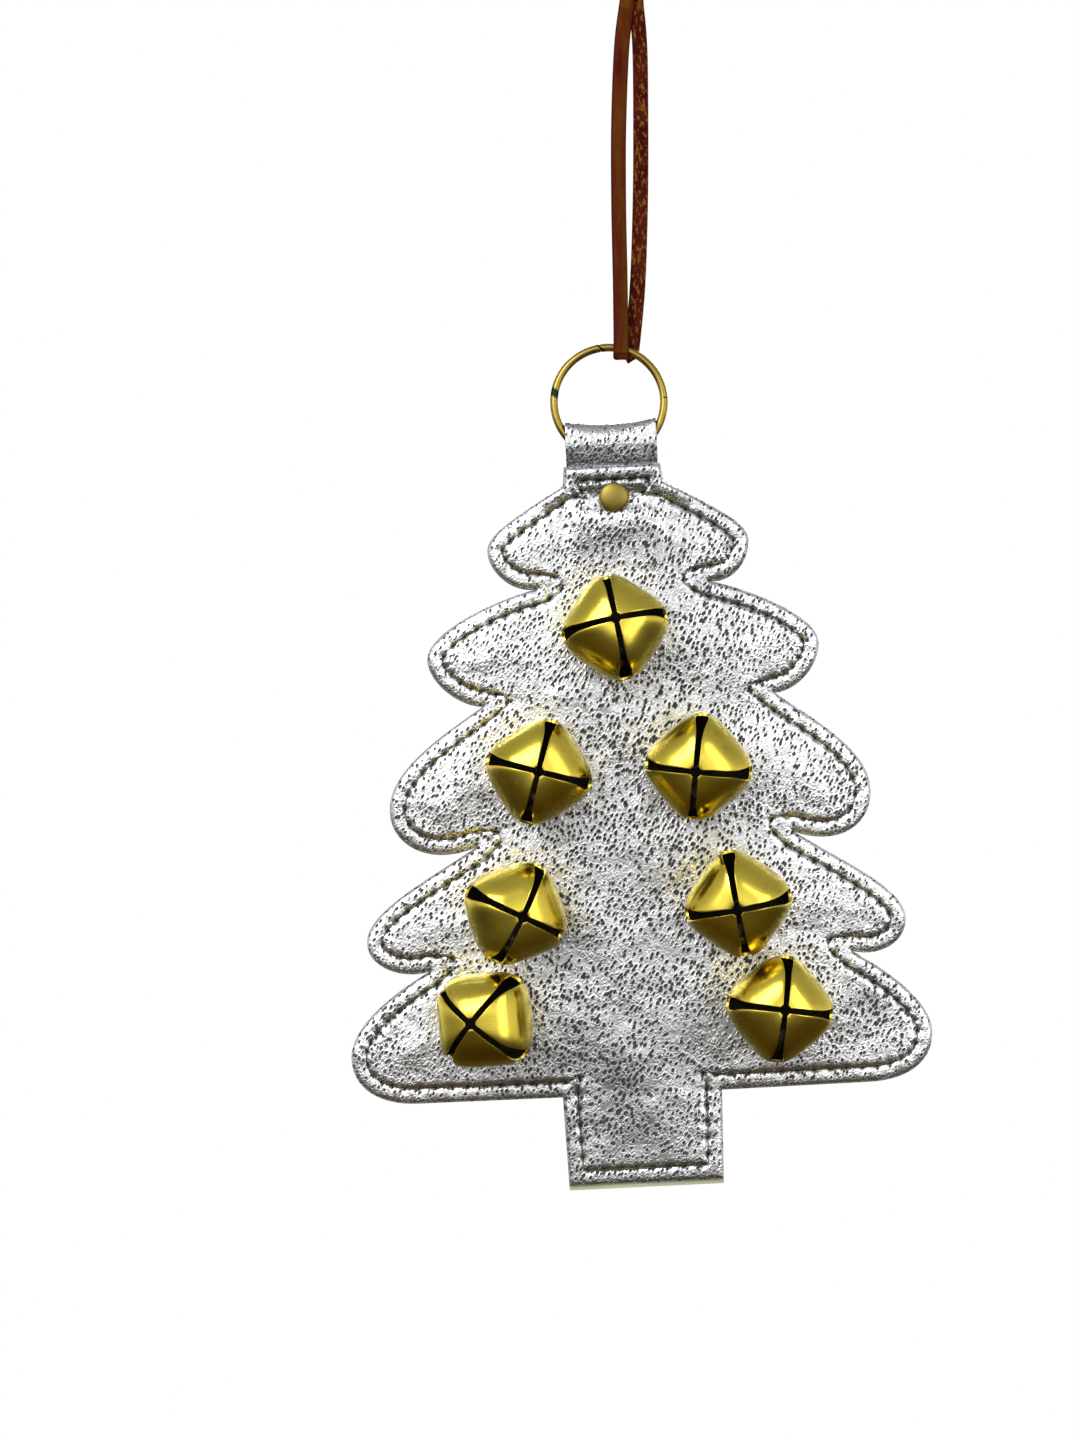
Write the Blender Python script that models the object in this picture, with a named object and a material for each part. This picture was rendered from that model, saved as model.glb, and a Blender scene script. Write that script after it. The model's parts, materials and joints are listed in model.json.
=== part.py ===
"""Tree-shaped leather door hanger with seven four-slot sleigh bells.

Metres, +Z up, front towards -Y. The origin is the lace's knot, where the hanger is hung.
Everything below the ring is laid out in the tree's own frame: x to the right, d down from the
ring's centre. The tree frame leans a little to one side, as the hanger comes to rest on its lace,
and its foot swings back, because the bells on its front carry its weight forward of the ring.
"""
import math

import bmesh
import bpy
import numpy as np
from mathutils import Matrix, Vector

MM = 0.001
GAP = 0.3 * MM

# Hanging line
RING_CENTRE = Vector((-5.75, 0.0, -108.35)) * MM
TREE_LEAN = math.radians(-2.77)
TREE_TIP = math.radians(4.5)
SWING_DEPTH = 12.0 * MM
LACE_ANGLE = math.radians(17.4)

# Ring and lace
RING_RADIUS = 13.75 * MM
RING_WIRE = 1.0 * MM
LACE_TUBE = 1.2 * MM
LACE_TURN = RING_WIRE + GAP + LACE_TUBE

# Leather layers, as distances from the middle plane
PANEL_INNER = 1.5 * MM
PANEL_OUTER = 2.5 * MM
BOARD_HALF = 1.2 * MM
THREAD_LIFT = GAP
THREAD_SIZE = 0.35 * MM
THREAD_STEP = 4.0 * MM
SEAM_INSET = 3.8 * MM
FIELD_OUTER = 3.2 * MM
FIELD_INSET = 5.0 * MM
FIELD_STEP = 4.0 * MM
FIELD_TOP = 30.0 * MM

# Neck strap
STRAP_HALF_WIDTH = 11.4 * MM
STRAP_THICKNESS = 0.6 * MM
STRAP_LEG_OFFSET = 0.65 * MM
STRAP_JOIN = 16.4 * MM
STRAP_TAIL = 42.0 * MM
STRAP_COLUMNS = 9
STRAP_FOLD = 4.7 * MM
STRAP_SAG = 2.2 * MM
STRAP_NARROWING = [(1.05, 15.4), (1.5, 14.3), (1.6, 13.2)]
RIVET_DEPTH = 24.1 * MM
RIVET_CAP_RADIUS = 3.65 * MM
RIVET_CAP_HEIGHT = 1.3 * MM
RIVET_SHAFT_RADIUS = 1.3 * MM
RIVET_HOLE_RADIUS = 1.6 * MM

# Bells
BELL_FLAT = 11.6 * MM
BELL_FRONT = 11.6 * MM
BELL_BACK = 11.3 * MM
BELL_WALL = 0.7 * MM
BELL_REACH = 14.7 * MM
BELL_HOLE_RADIUS = 1.45 * MM
SHELL_CURVE = 2.15
SHELL_SQUARE = 3.5
SHELL_SQUARE_LOSS = 1.3
SLOT_HALF = 0.55 * MM
SLOT_END_HALF = 1.4 * MM
SLOT_FLARE_START = 0.55
PETAL_TIP = math.radians(83)
PETAL_ROOT = math.radians(-4)
SHELL_FOOT = math.radians(-82)
PIVOT_Y = -0.45 * MM
PIN_RADIUS = 0.7 * MM
PIN_LENGTH = 9.0 * MM
EYE_HOLE = 0.95 * MM
EYE_RADIUS = 1.65 * MM
SHANK_WIDTH = 1.8 * MM
SHANK_THICKNESS = 1.4 * MM
SHANK_HEAD_WIDTH = 5.0 * MM
SHANK_HEAD_THICKNESS = 1.0 * MM
LEATHER_HOLE_RADIUS = 2.0 * MM
BOARD_WINDOW_RADIUS = 6.0 * MM
PELLET_RADIUS = 3.2 * MM
PELLET_ORBIT = 7.2 * MM

# Each bell: x and d of its middle in mm, degrees that it faces right and up, and its roll
BELLS = [
    (-1.6, 56.8, 0.0, 10.0, 8.9),
    (-22.0, 91.4, -1.0, 1.0, -16.8),
    (17.2, 92.1, -6.3, -5.4, -7.6),
    (-29.5, 125.8, 9.4, -2.7, -28.4),
    (25.3, 126.1, -4.0, -5.7, 7.9),
    (-38.1, 151.7, -18.0, 0.0, -41.8),
    (34.4, 152.5, 2.7, 2.7, -9.3),
]

# Half of the tree's outline in mm: straight corners, then for each bough its bezier handles
NECK = [(12.1, 15.9), (12.6, 20.5)]
BOUGHS = [
    [(24.0, 27.7), (32.2, 31.5), (32.2, 36.2), (32.2, 41.2), (26.5, 46.9), (20.3, 46.1)],
    [(30.0, 47.8), (48.5, 55.5), (48.5, 62.6), (48.5, 67.6), (42.0, 74.2), (35.3, 74.8)],
    [(47.0, 82.2), (59.7, 90.0), (59.7, 100.0), (59.7, 108.5), (50.0, 114.2), (38.4, 109.7)],
    [(55.0, 119.4), (66.9, 125.4), (66.9, 132.5), (66.9, 138.8), (58.0, 142.0), (51.6, 140.2)],
    [(64.0, 146.8), (72.2, 154.4), (72.2, 161.0), (72.2, 169.0), (65.0, 173.0), (56.0, 173.0)],
]
TRUNK = [(19.9, 173.2), (19.3, 196.6)]
BOUGH_STEPS = 5

# Half of the board's outline in mm, clear of the seam and open for the strap's tails
BOARD = [
    (12.0, 42.6), (12.0, 26.4), (24.6, 34.0), (26.0, 37.0), (24.0, 40.4), (14.6, 43.6), (14.6, 48.4),
    (38.6, 58.6), (42.4, 62.6), (40.0, 67.6), (29.6, 72.6), (29.6, 77.2), (51.0, 93.4), (53.4, 100.4),
    (50.4, 105.6), (32.6, 107.0), (32.6, 112.4), (57.6, 127.4), (60.2, 132.4), (56.6, 134.8),
    (45.6, 137.4), (45.6, 142.4), (63.4, 155.4), (65.6, 161.4), (60.4, 166.8), (14.0, 167.4), (13.8, 190.8),
]

# Points of the lace's two legs in mm, from the knot down
LACE_FRONT = [(-0.9, -0.5, -5.6), (-2.4, -0.9, -18.0), (-3.4, -1.3, -38.0), (-3.9, -1.8, -58.0), (-3.8, -2.3, -79.0)]
LACE_BACK = [(1.2, 0.5, -5.6), (2.2, 0.9, -18.0), (2.2, 1.3, -38.0), (1.6, 1.8, -58.0), (0.6, 2.3, -79.0)]
LACE_SPREAD = 1.75 * MM


def clear_scene():
    for item in list(bpy.data.objects):
        bpy.data.objects.remove(item, do_unlink=True)


def material(name, colour, metallic, roughness):
    made = bpy.data.materials.new(name)
    made.use_nodes = True
    shader = made.node_tree.nodes["Principled BSDF"]
    shader.inputs["Base Color"].default_value = (*colour, 1.0)
    shader.inputs["Metallic"].default_value = metallic
    shader.inputs["Roughness"].default_value = roughness
    return made


def add(name, data, look, parent=None, matrix=None):
    data.materials.append(look)
    made = bpy.data.objects.new(name, data)
    bpy.context.scene.collection.objects.link(made)
    if parent:
        made.parent = parent
    if matrix:
        made.matrix_basis = matrix
    return made


def add_mesh(name, points, faces, look, parent=None, matrix=None, smooth=True):
    mesh = bpy.data.meshes.new(name)
    mesh.from_pydata([tuple(p) for p in points], [], faces)
    mesh.update()
    if smooth:
        mesh.shade_smooth()
        mesh.set_sharp_from_angle(angle=math.radians(40))
    return add(name, mesh, look, parent, matrix)


def prism(name, outline, low, high, look, parent):
    """A flat piece: an outline in (x, d), cut square through from y=low to y=high."""
    count = len(outline)
    points = [(x, low, -d) for x, d in outline] + [(x, high, -d) for x, d in outline]
    sides = [(i, (i + 1) % count, (i + 1) % count + count, i + count) for i in range(count)]
    caps = [tuple(range(count - 1, -1, -1)), tuple(range(count, 2 * count))]
    return add_mesh(name, points, sides + caps, look, parent, smooth=False)


def turned(name, profile, steps, look, parent=None, matrix=None):
    """A closed round piece about its own z axis, from a profile of (radius, z), bottom to top."""
    points = [(0.0, 0.0, profile[0][1])]
    for radius, z in profile:
        for i in range(steps):
            turn = 2.0 * math.pi * i / steps
            points.append((radius * math.cos(turn), radius * math.sin(turn), z))
    points.append((0.0, 0.0, profile[-1][1]))
    faces = []
    for i in range(steps):
        j = (i + 1) % steps
        faces.append((0, 1 + j, 1 + i))
        for row in range(len(profile) - 1):
            a = 1 + row * steps
            faces.append((a + i, a + j, a + steps + j, a + steps + i))
        last = 1 + (len(profile) - 1) * steps
        faces.append((last + i, last + j, len(points) - 1))
    return add_mesh(name, points, faces, look, parent, matrix)


def bezier(p0, p1, p2, p3, steps):
    for i in range(1, steps + 1):
        t = i / steps
        s = 1.0 - t
        yield tuple(
            s**3 * a + 3 * s * s * t * b + 3 * s * t * t * c + t**3 * e
            for a, b, c, e in zip(p0, p1, p2, p3)
        )


def mirrored(half):
    """Closes a half outline, whose points run from top to bottom on the right, to both sides."""
    right = [(x * MM, d * MM) for x, d in half]
    return right + [(-x, d) for x, d in reversed(right)]


def tree_matrix():
    """The tree's frame at the ring's centre: leaned to the side, then tipped about the swing line."""
    line = Matrix.Translation((0.0, 0.0, -SWING_DEPTH))
    tip = line @ Matrix.Rotation(TREE_TIP, 4, "X") @ line.inverted()
    return Matrix.Translation(RING_CENTRE) @ Matrix.Rotation(TREE_LEAN, 4, "Y") @ tip


def tree_outline():
    half = list(NECK)
    for h1, h2, tip, h3, h4, notch in BOUGHS:
        half += bezier(half[-1], h1, h2, tip, BOUGH_STEPS)
        half += bezier(tip, h3, h4, notch, BOUGH_STEPS)
    return mirrored(half + TRUNK)


def seam_path(outline, inset, spacing):
    """The seam's closed line: the outline moved inward, round every notch, with even points."""
    edge = np.array(outline)
    path = []
    for a, b, c in zip(edge, np.roll(edge, -1, axis=0), np.roll(edge, -2, axis=0)):
        along, after = (b - a) / np.linalg.norm(b - a), (c - b) / np.linalg.norm(c - b)
        inward = np.array([-along[1], along[0]]) * inset
        count = 1 + int(np.linalg.norm(b - a) / MM)
        path += [a + (b - a) * i / count + inward for i in range(count + 1)]
        bend = math.atan2(along[0] * after[1] - along[1] * after[0], along @ after)
        for i in range(1, int(-bend / 0.2)):
            turn = -0.2 * i
            cos, sin = math.cos(turn), math.sin(turn)
            path.append(b + np.array([inward[0] * cos - inward[1] * sin, inward[0] * sin + inward[1] * cos]))
    return resample(np.array([p for p in path if clearance(p, edge) > 0.99 * inset]), spacing)


def clearance(point, edge):
    a, b = edge, np.roll(edge, -1, axis=0)
    along = b - a
    t = np.clip(((point - a) * along).sum(1) / (along * along).sum(1), 0.0, 1.0)
    return np.linalg.norm(point - a - along * t[:, None], axis=1).min()


def resample(path, spacing):
    closed = np.vstack([path, path[:1]])
    run = np.concatenate([[0.0], np.cumsum(np.linalg.norm(np.diff(closed, axis=0), axis=1))])
    places = np.linspace(0.0, run[-1], int(run[-1] / spacing), endpoint=False)
    return np.stack([np.interp(places, run, closed[:, k]) for k in range(2)], axis=1)


def seam_thread(name, outline, side, look, parent):
    """A thread laid along the seam on one face, as a closed square ribbon."""
    path = seam_path(outline, SEAM_INSET, THREAD_STEP)
    count = len(path)
    ahead = np.roll(path, -1, axis=0) - np.roll(path, 1, axis=0)
    ahead /= np.linalg.norm(ahead, axis=1)[:, None]
    across = np.stack([-ahead[:, 1], ahead[:, 0]], axis=1) * THREAD_SIZE
    inner = PANEL_OUTER + THREAD_LIFT
    outer = inner + THREAD_SIZE
    corners = [(1, inner), (1, outer), (-1, outer), (-1, inner)]
    points = []
    for p, w in zip(path, across):
        for reach, depth in corners:
            x, d = p + w * reach
            points.append((x, side * depth, -d))
    faces = []
    for i in range(count):
        j = (i + 1) % count
        for k in range(4):
            m = (k + 1) % 4
            quad = (4 * i + k, 4 * i + m, 4 * j + m, 4 * j + k)
            faces.append(quad if side > 0 else quad[::-1])
    return add_mesh(name, points, faces, look, parent, smooth=False)


def back_field(outline):
    """The outline of the back's padded field: inside the seam, and below the rivet."""
    path = seam_path(outline, FIELD_INSET, FIELD_STEP)
    return [(x, d) for x, d in path if d > FIELD_TOP]


def raise_field(panel, field, look, frame):
    """Joins the padded field to the back panel."""
    pad = prism(panel.name + "_field", field, (PANEL_INNER + PANEL_OUTER) / 2, FIELD_OUTER, look, frame)
    pad.hide_render = True
    pad.display_type = "WIRE"
    join = panel.modifiers.new("field", "BOOLEAN")
    join.operation = "UNION"
    join.object = pad


def cut(target, cutters):
    """Cuts round holes, given as (x, d, radius), through a flat piece."""
    tool = bpy.data.meshes.new(target.name + "_holes")
    shape = bmesh.new()
    for x, d, radius in cutters:
        place = Matrix.Translation((x, 0.0, -d)) @ Matrix.Rotation(math.pi / 2, 4, "X")
        bmesh.ops.create_cone(
            shape, cap_ends=True, segments=14, radius1=radius, radius2=radius, depth=12 * MM, matrix=place
        )
    shape.to_mesh(tool)
    shape.free()
    cutter = bpy.data.objects.new(target.name + "_holes", tool)
    bpy.context.scene.collection.objects.link(cutter)
    cutter.parent = target.parent
    cutter.hide_render = True
    cutter.display_type = "WIRE"
    boolean = target.modifiers.new("holes", "BOOLEAN")
    boolean.operation = "DIFFERENCE"
    boolean.object = cutter


def add_panels(frame, looks):
    outline = tree_outline()
    front = prism("front_panel", outline, -PANEL_OUTER, -PANEL_INNER, looks["silver"], frame)
    back = prism("back_panel", outline, PANEL_INNER, PANEL_OUTER, looks["natural"], frame)
    board = prism("core_board", mirrored(BOARD), -BOARD_HALF, BOARD_HALF, looks["board"], frame)
    pivots = [bell_pivot(bell) for bell in BELLS]
    rivet = (0.0, RIVET_DEPTH, RIVET_HOLE_RADIUS)
    cut(front, [(p.x, -p.z, LEATHER_HOLE_RADIUS) for p in pivots] + [rivet])
    raise_field(back, back_field(outline), looks["natural"], frame)
    cut(back, [rivet])
    cut(board, [(p.x, -p.z, BOARD_WINDOW_RADIUS) for p in pivots])
    seam_thread("front_stitching", outline, -1, looks["thread"], frame)
    seam_thread("back_stitching", outline, 1, looks["thread"], frame)


def strap_column(x):
    """The strap's middle line in (y, d) at one x: front tail, over the ring's wire, back tail.

    The fold hangs on the wire at its two corners, and sags a little between them.
    """
    reach = RING_WIRE + GAP + STRAP_THICKNESS / 2
    middle = STRAP_FOLD + STRAP_SAG * (1.0 - (x / STRAP_HALF_WIDTH) ** 2) + reach
    arc = [(-reach * math.cos(a), middle - reach * math.sin(a)) for a in np.linspace(0.0, math.pi / 2, 5)]
    tail = [(-STRAP_LEG_OFFSET, d) for d in (STRAP_TAIL, 0.5 * (STRAP_TAIL + STRAP_JOIN), STRAP_JOIN)]
    half = tail + [(-y * MM, d * MM) for y, d in STRAP_NARROWING] + arc
    return [untipped(y, d) for y, d in half + [(-y, d) for y, d in reversed(half[:-1])]]


def untipped(y, d):
    """Turns the strap's loop back about the swing line, so that it stays true to the ring."""
    share = min(1.0, max(0.0, (STRAP_JOIN - d) / (STRAP_JOIN - SWING_DEPTH)))
    cos, sin = math.cos(TREE_TIP * share), math.sin(TREE_TIP * share)
    low = d - SWING_DEPTH
    return y * cos - low * sin, SWING_DEPTH + low * cos + y * sin


def add_strap(frame, looks):
    places = np.linspace(-STRAP_HALF_WIDTH, STRAP_HALF_WIDTH, STRAP_COLUMNS)
    columns = [strap_column(x) for x in places]
    rows = len(columns[0])
    points = [(x, y, -d) for x, column in zip(places, columns) for y, d in column]
    faces = [
        (c * rows + r, c * rows + r + 1, (c + 1) * rows + r + 1, (c + 1) * rows + r)
        for c in range(len(columns) - 1)
        for r in range(rows - 1)
    ]
    strap = add_mesh("hanging_strap", points, faces, looks["silver"], frame)
    skin = strap.modifiers.new("thickness", "SOLIDIFY")
    skin.thickness = STRAP_THICKNESS
    skin.offset = 0.0
    cut(strap, [(0.0, RIVET_DEPTH, RIVET_HOLE_RADIUS)])


def add_rivet(frame, looks):
    place = Matrix.Translation((0.0, 0.0, -RIVET_DEPTH)) @ Matrix.Rotation(math.pi / 2, 4, "X")
    face = PANEL_OUTER + GAP
    tip = PANEL_OUTER + GAP + 0.5 * MM
    cap = [
        (RIVET_CAP_RADIUS * 0.9, face),
        (RIVET_CAP_RADIUS, face + 0.35 * MM),
        (RIVET_CAP_RADIUS * 0.86, face + 0.75 * RIVET_CAP_HEIGHT),
        (RIVET_CAP_RADIUS * 0.45, face + RIVET_CAP_HEIGHT),
    ]
    hollow = [(RIVET_SHAFT_RADIUS, tip), (RIVET_SHAFT_RADIUS, -face), (RIVET_CAP_RADIUS * 0.9, -face)]
    foot = [(RIVET_CAP_RADIUS * 0.45, -face - 0.9 * MM), (RIVET_CAP_RADIUS, -face - 0.4 * MM)]
    post = foot + hollow[::-1]
    socket = [(RIVET_SHAFT_RADIUS + GAP, tip + GAP), (RIVET_SHAFT_RADIUS + GAP, face)]
    turned("rivet_cap", socket + cap, 20, looks["brass_dull"], frame, place)
    turned("rivet_post", post, 20, looks["brass_dull"], frame, place)


def add_ring(looks):
    bpy.ops.mesh.primitive_torus_add(
        major_segments=40,
        minor_segments=10,
        major_radius=RING_RADIUS,
        minor_radius=RING_WIRE,
        location=RING_CENTRE,
        rotation=(math.pi / 2, 0.0, 0.0),
    )
    ring = bpy.context.object
    ring.name = "ring"
    ring.data.name = "ring"
    ring.data.materials.append(looks["brass"])
    ring.data.shade_smooth()


def lace_contact():
    """The middle of the ring's wire where the lace bears on it."""
    return RING_CENTRE + Vector((math.sin(LACE_ANGLE), 0.0, math.cos(LACE_ANGLE))) * RING_RADIUS


def smooth_path(points, steps):
    """Catmull-Rom points through a list, a few for each stretch."""
    padded = [2 * points[0] - points[1], *points, 2 * points[-1] - points[-2]]
    path = []
    for a, b, c, e in zip(padded, padded[1:], padded[2:], padded[3:]):
        for i in range(steps):
            t = i / steps
            path.append(
                0.5 * (2 * b + (c - a) * t + (2 * a - 5 * b + 4 * c - e) * t * t + (3 * b - a - 3 * c + e) * t**3)
            )
    return path + [points[-1]]


def add_lace(looks):
    contact = lace_contact()
    front = [Vector(p) * MM for p in LACE_FRONT]
    back = [Vector(p) * MM for p in LACE_BACK]
    turn = []
    for step in range(9):
        angle = math.pi * step / 8
        side = LACE_SPREAD * (2 * step / 8 - 1)
        turn.append(contact + Vector((side, -LACE_TURN * math.cos(angle), -LACE_TURN * math.sin(angle))))
    path = smooth_path([*front, *turn, *reversed(back)], 3)
    curve = bpy.data.curves.new("lace", "CURVE")
    curve.dimensions = "3D"
    curve.bevel_depth = LACE_TUBE
    curve.bevel_resolution = 2
    curve.use_fill_caps = True
    spline = curve.splines.new("POLY")
    spline.points.add(len(path) - 1)
    for point, place in zip(spline.points, path):
        point.co = (*place, 1.0)
    add("lace", curve, looks["lace"])
    knot = [
        (2.6, -5.0), (4.4, -3.6), (5.2, -1.2), (5.0, 1.2), (3.8, 3.2), (2.6, 4.6), (2.6, 12.0), (2.0, 13.0),
    ]
    turned("lace_knot", [(r * MM, z * MM) for r, z in knot], 14, looks["lace"])


def bell_facing(bell):
    _, _, right, up, _ = bell
    return Vector((math.tan(math.radians(right)), -1.0, math.tan(math.radians(up)))).normalized()


def bell_pivot(bell):
    """The point of the pin's axis that a bell tilts about, in the tree frame."""
    facing = bell_facing(bell)
    x, d = bell[0] * MM, bell[1] * MM
    return Vector((x - facing.x * BELL_REACH, PIVOT_Y, -d - facing.z * BELL_REACH))


def bell_frame(bell):
    """The bell's own axes in the tree frame: x along its pin, z out of its front."""
    facing = bell_facing(bell)
    pin = Vector((0.0, -1.0, 0.0)).cross(facing).normalized()
    side = facing.cross(pin)
    turn = Matrix((pin, side, facing)).transposed().to_4x4()
    return Matrix.Translation(bell_pivot(bell)) @ turn


def petal_half_width(share):
    """Half of a slot's width along a petal's edge, from the front pole, 0, to the slot's end, 1."""
    flare = max(0.0, share - SLOT_FLARE_START) / (1.0 - SLOT_FLARE_START)
    return SLOT_HALF + (SLOT_END_HALF - SLOT_HALF) * flare**2


def shell_ring(height, squareness):
    """How far the shell's side stands out at one height, as a function of the angle round it."""
    limit = BELL_FRONT if height >= 0 else BELL_BACK
    size = BELL_FLAT * max(0.0, 1.0 - abs(height / limit) ** SHELL_CURVE) ** (1 / SHELL_CURVE)

    def radius(angle):
        c, s = abs(math.cos(angle)), abs(math.sin(angle))
        return size * (c**squareness + s**squareness) ** (-1.0 / squareness)

    return radius


def shell_mesh():
    """Four petals that bend forward from a round back, slotted along their corners."""
    columns, front_rows, back_rows = 4, 6, 5
    points, faces = [], []
    grid = {}

    def point(key, radius, angle, height):
        if key not in grid:
            grid[key] = len(points)
            points.append((radius * math.cos(angle), radius * math.sin(angle), height))
        return grid[key]

    for petal in range(4):
        middle = petal * math.pi / 2
        rows = []
        for row in range(front_rows):
            share = row / front_rows
            lift = PETAL_TIP + (PETAL_ROOT - PETAL_TIP) * share
            height = BELL_FRONT * math.sin(lift)
            ring = shell_ring(height, SHELL_SQUARE)
            corner = ring(math.pi / 4)
            inset = math.asin(min(0.9, petal_half_width(share) / corner))
            span = math.pi / 4 - inset
            line = []
            for column in range(columns + 1):
                angle = span * (2 * column / columns - 1)
                line.append(point(("f", petal, row, column), ring(angle), middle + angle, height))
            rows.append(line)
        for row in range(back_rows + 1):
            lift = PETAL_ROOT + (SHELL_FOOT - PETAL_ROOT) * row / back_rows
            height = BELL_BACK * math.sin(lift)
            ring = shell_ring(height, SHELL_SQUARE - SHELL_SQUARE_LOSS * row / back_rows)
            line = []
            for column in range(columns + 1):
                angle = math.pi / 4 * (2 * column / columns - 1)
                radius = ring(angle) if row < back_rows else BELL_HOLE_RADIUS
                key = ("b", row, (petal * columns + column) % (4 * columns))
                line.append(point(key, radius, middle + angle, height))
            rows.append(line)
        for low, high in zip(rows, rows[1:]):
            for a, b, c, e in zip(low, low[1:], high[1:], high):
                faces.append((a, e, c, b))
    return points, faces


def shank_outline():
    """A flat wire eye, its stem and the legs splayed inside the bell, lying in the y-z plane."""
    head_low = BELL_REACH - BELL_BACK + BELL_WALL + 2 * GAP
    head_high = head_low + SHANK_HEAD_THICKNESS
    half = SHANK_WIDTH / 2
    meet = math.sqrt(EYE_RADIUS**2 - half**2)
    start = math.atan2(half, meet)
    eye = []
    for step in range(13):
        angle = math.pi / 2 - start - step * (2 * math.pi - 2 * start) / 12
        eye.append((EYE_RADIUS * math.cos(angle), EYE_RADIUS * math.sin(angle)))
    wide = SHANK_HEAD_WIDTH / 2
    top = [(-half, head_low), (-wide, head_low + GAP), (-wide, head_high), (wide, head_high)]
    return eye + top + [(wide, head_low + GAP), (half, head_low)]


def add_shank(name, look, parent):
    outline = shank_outline()
    shape = bmesh.new()
    outer = [shape.verts.new((-SHANK_THICKNESS / 2, y, z)) for y, z in outline]
    inner = []
    for step in range(12):
        angle = 2 * math.pi * step / 12
        place = (-SHANK_THICKNESS / 2, EYE_HOLE * math.cos(angle), EYE_HOLE * math.sin(angle))
        inner.append(shape.verts.new(place))
    edges = [shape.edges.new((a, b)) for a, b in zip(outer, outer[1:] + outer[:1])]
    edges += [shape.edges.new((a, b)) for a, b in zip(inner, inner[1:] + inner[:1])]
    bmesh.ops.triangle_fill(shape, edges=edges, use_beauty=True)
    made = bmesh.ops.extrude_face_region(shape, geom=shape.faces[:])
    moved = [v for v in made["geom"] if isinstance(v, bmesh.types.BMVert)]
    bmesh.ops.translate(shape, verts=moved, vec=(SHANK_THICKNESS, 0.0, 0.0))
    bmesh.ops.recalc_face_normals(shape, faces=shape.faces[:])
    mesh = bpy.data.meshes.new(name)
    shape.to_mesh(mesh)
    shape.free()
    return add(name, mesh, look, parent)


def add_pellet(name, look, parent, place):
    shape = bmesh.new()
    bmesh.ops.create_uvsphere(shape, u_segments=12, v_segments=8, radius=PELLET_RADIUS)
    mesh = bpy.data.meshes.new(name)
    shape.to_mesh(mesh)
    shape.free()
    mesh.shade_smooth()
    made = add(name, mesh, look, parent)
    made.location = place
    return made


def add_bell(number, bell, frame, looks):
    """One bell: shell, wire eye, pin behind the leather and a loose pellet inside."""
    prefix = f"bell_{number}_"
    pivot = bpy.data.objects.new(prefix + "pivot", None)
    bpy.context.scene.collection.objects.link(pivot)
    pivot.parent = frame
    pivot.matrix_basis = bell_frame(bell)
    points, faces = shell_mesh()
    shell = add_mesh(prefix + "shell", points, faces, looks["brass"], pivot)
    middle = Matrix.Translation((0.0, 0.0, BELL_REACH))
    in_tree = bell_frame(bell).to_3x3()
    level = in_tree.inverted() @ Vector((1.0, 0.0, 0.0))
    roll = math.atan2(level.y, level.x) + math.radians(bell[4] + 45.0)
    shell.matrix_basis = middle @ Matrix.Rotation(roll, 4, "Z")
    wall = shell.modifiers.new("wall", "SOLIDIFY")
    wall.thickness = BELL_WALL
    wall.offset = -1.0
    add_shank(prefix + "shank", looks["steel"], pivot)
    along = Matrix.Rotation(math.pi / 2, 4, "Y")
    ends = [(PIN_RADIUS, -PIN_LENGTH / 2), (PIN_RADIUS, PIN_LENGTH / 2)]
    turned(prefix + "pin", ends, 12, looks["steel"], pivot, along)
    world = (frame.matrix_basis.to_3x3() @ in_tree).inverted()
    down = world @ Vector((0.0, 0.0, -1.0))
    down.z = 0.0
    rest = Vector((0.0, 0.0, BELL_REACH)) + down.normalized() * PELLET_ORBIT
    add_pellet(prefix + "pellet", looks["steel"], pivot, rest)


def main():
    clear_scene()
    looks = {
        "silver": material("silver_leather", (0.72, 0.73, 0.75), 0.6, 0.4),
        "natural": material("natural_leather", (0.62, 0.55, 0.38), 0.0, 0.7),
        "board": material("core_board", (0.45, 0.36, 0.25), 0.0, 0.9),
        "thread": material("thread", (0.42, 0.40, 0.30), 0.0, 0.8),
        "brass": material("brass", (0.80, 0.66, 0.28), 1.0, 0.28),
        "brass_dull": material("dull_brass", (0.58, 0.48, 0.26), 1.0, 0.45),
        "steel": material("steel", (0.55, 0.55, 0.56), 1.0, 0.35),
        "lace": material("lace_leather", (0.28, 0.07, 0.04), 0.0, 0.55),
    }
    frame = bpy.data.objects.new("tree_frame", None)
    bpy.context.scene.collection.objects.link(frame)
    frame.matrix_basis = tree_matrix()
    add_lace(looks)
    add_ring(looks)
    add_strap(frame, looks)
    add_panels(frame, looks)
    add_rivet(frame, looks)
    for number, bell in enumerate(BELLS, start=1):
        add_bell(number, bell, frame, looks)


main()
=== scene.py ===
"""Looks for the tree-shaped door hanger with seven four-slot sleigh bells.

Metres, +Z up, front towards -Y. Heights of the leather are measured in millimetres from the
tree's middle plane, towards the side that the sheet faces.
"""
import json
import math

import bpy
import numpy as np
from mathutils import Matrix, Vector, geometry, kdtree, noise


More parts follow.
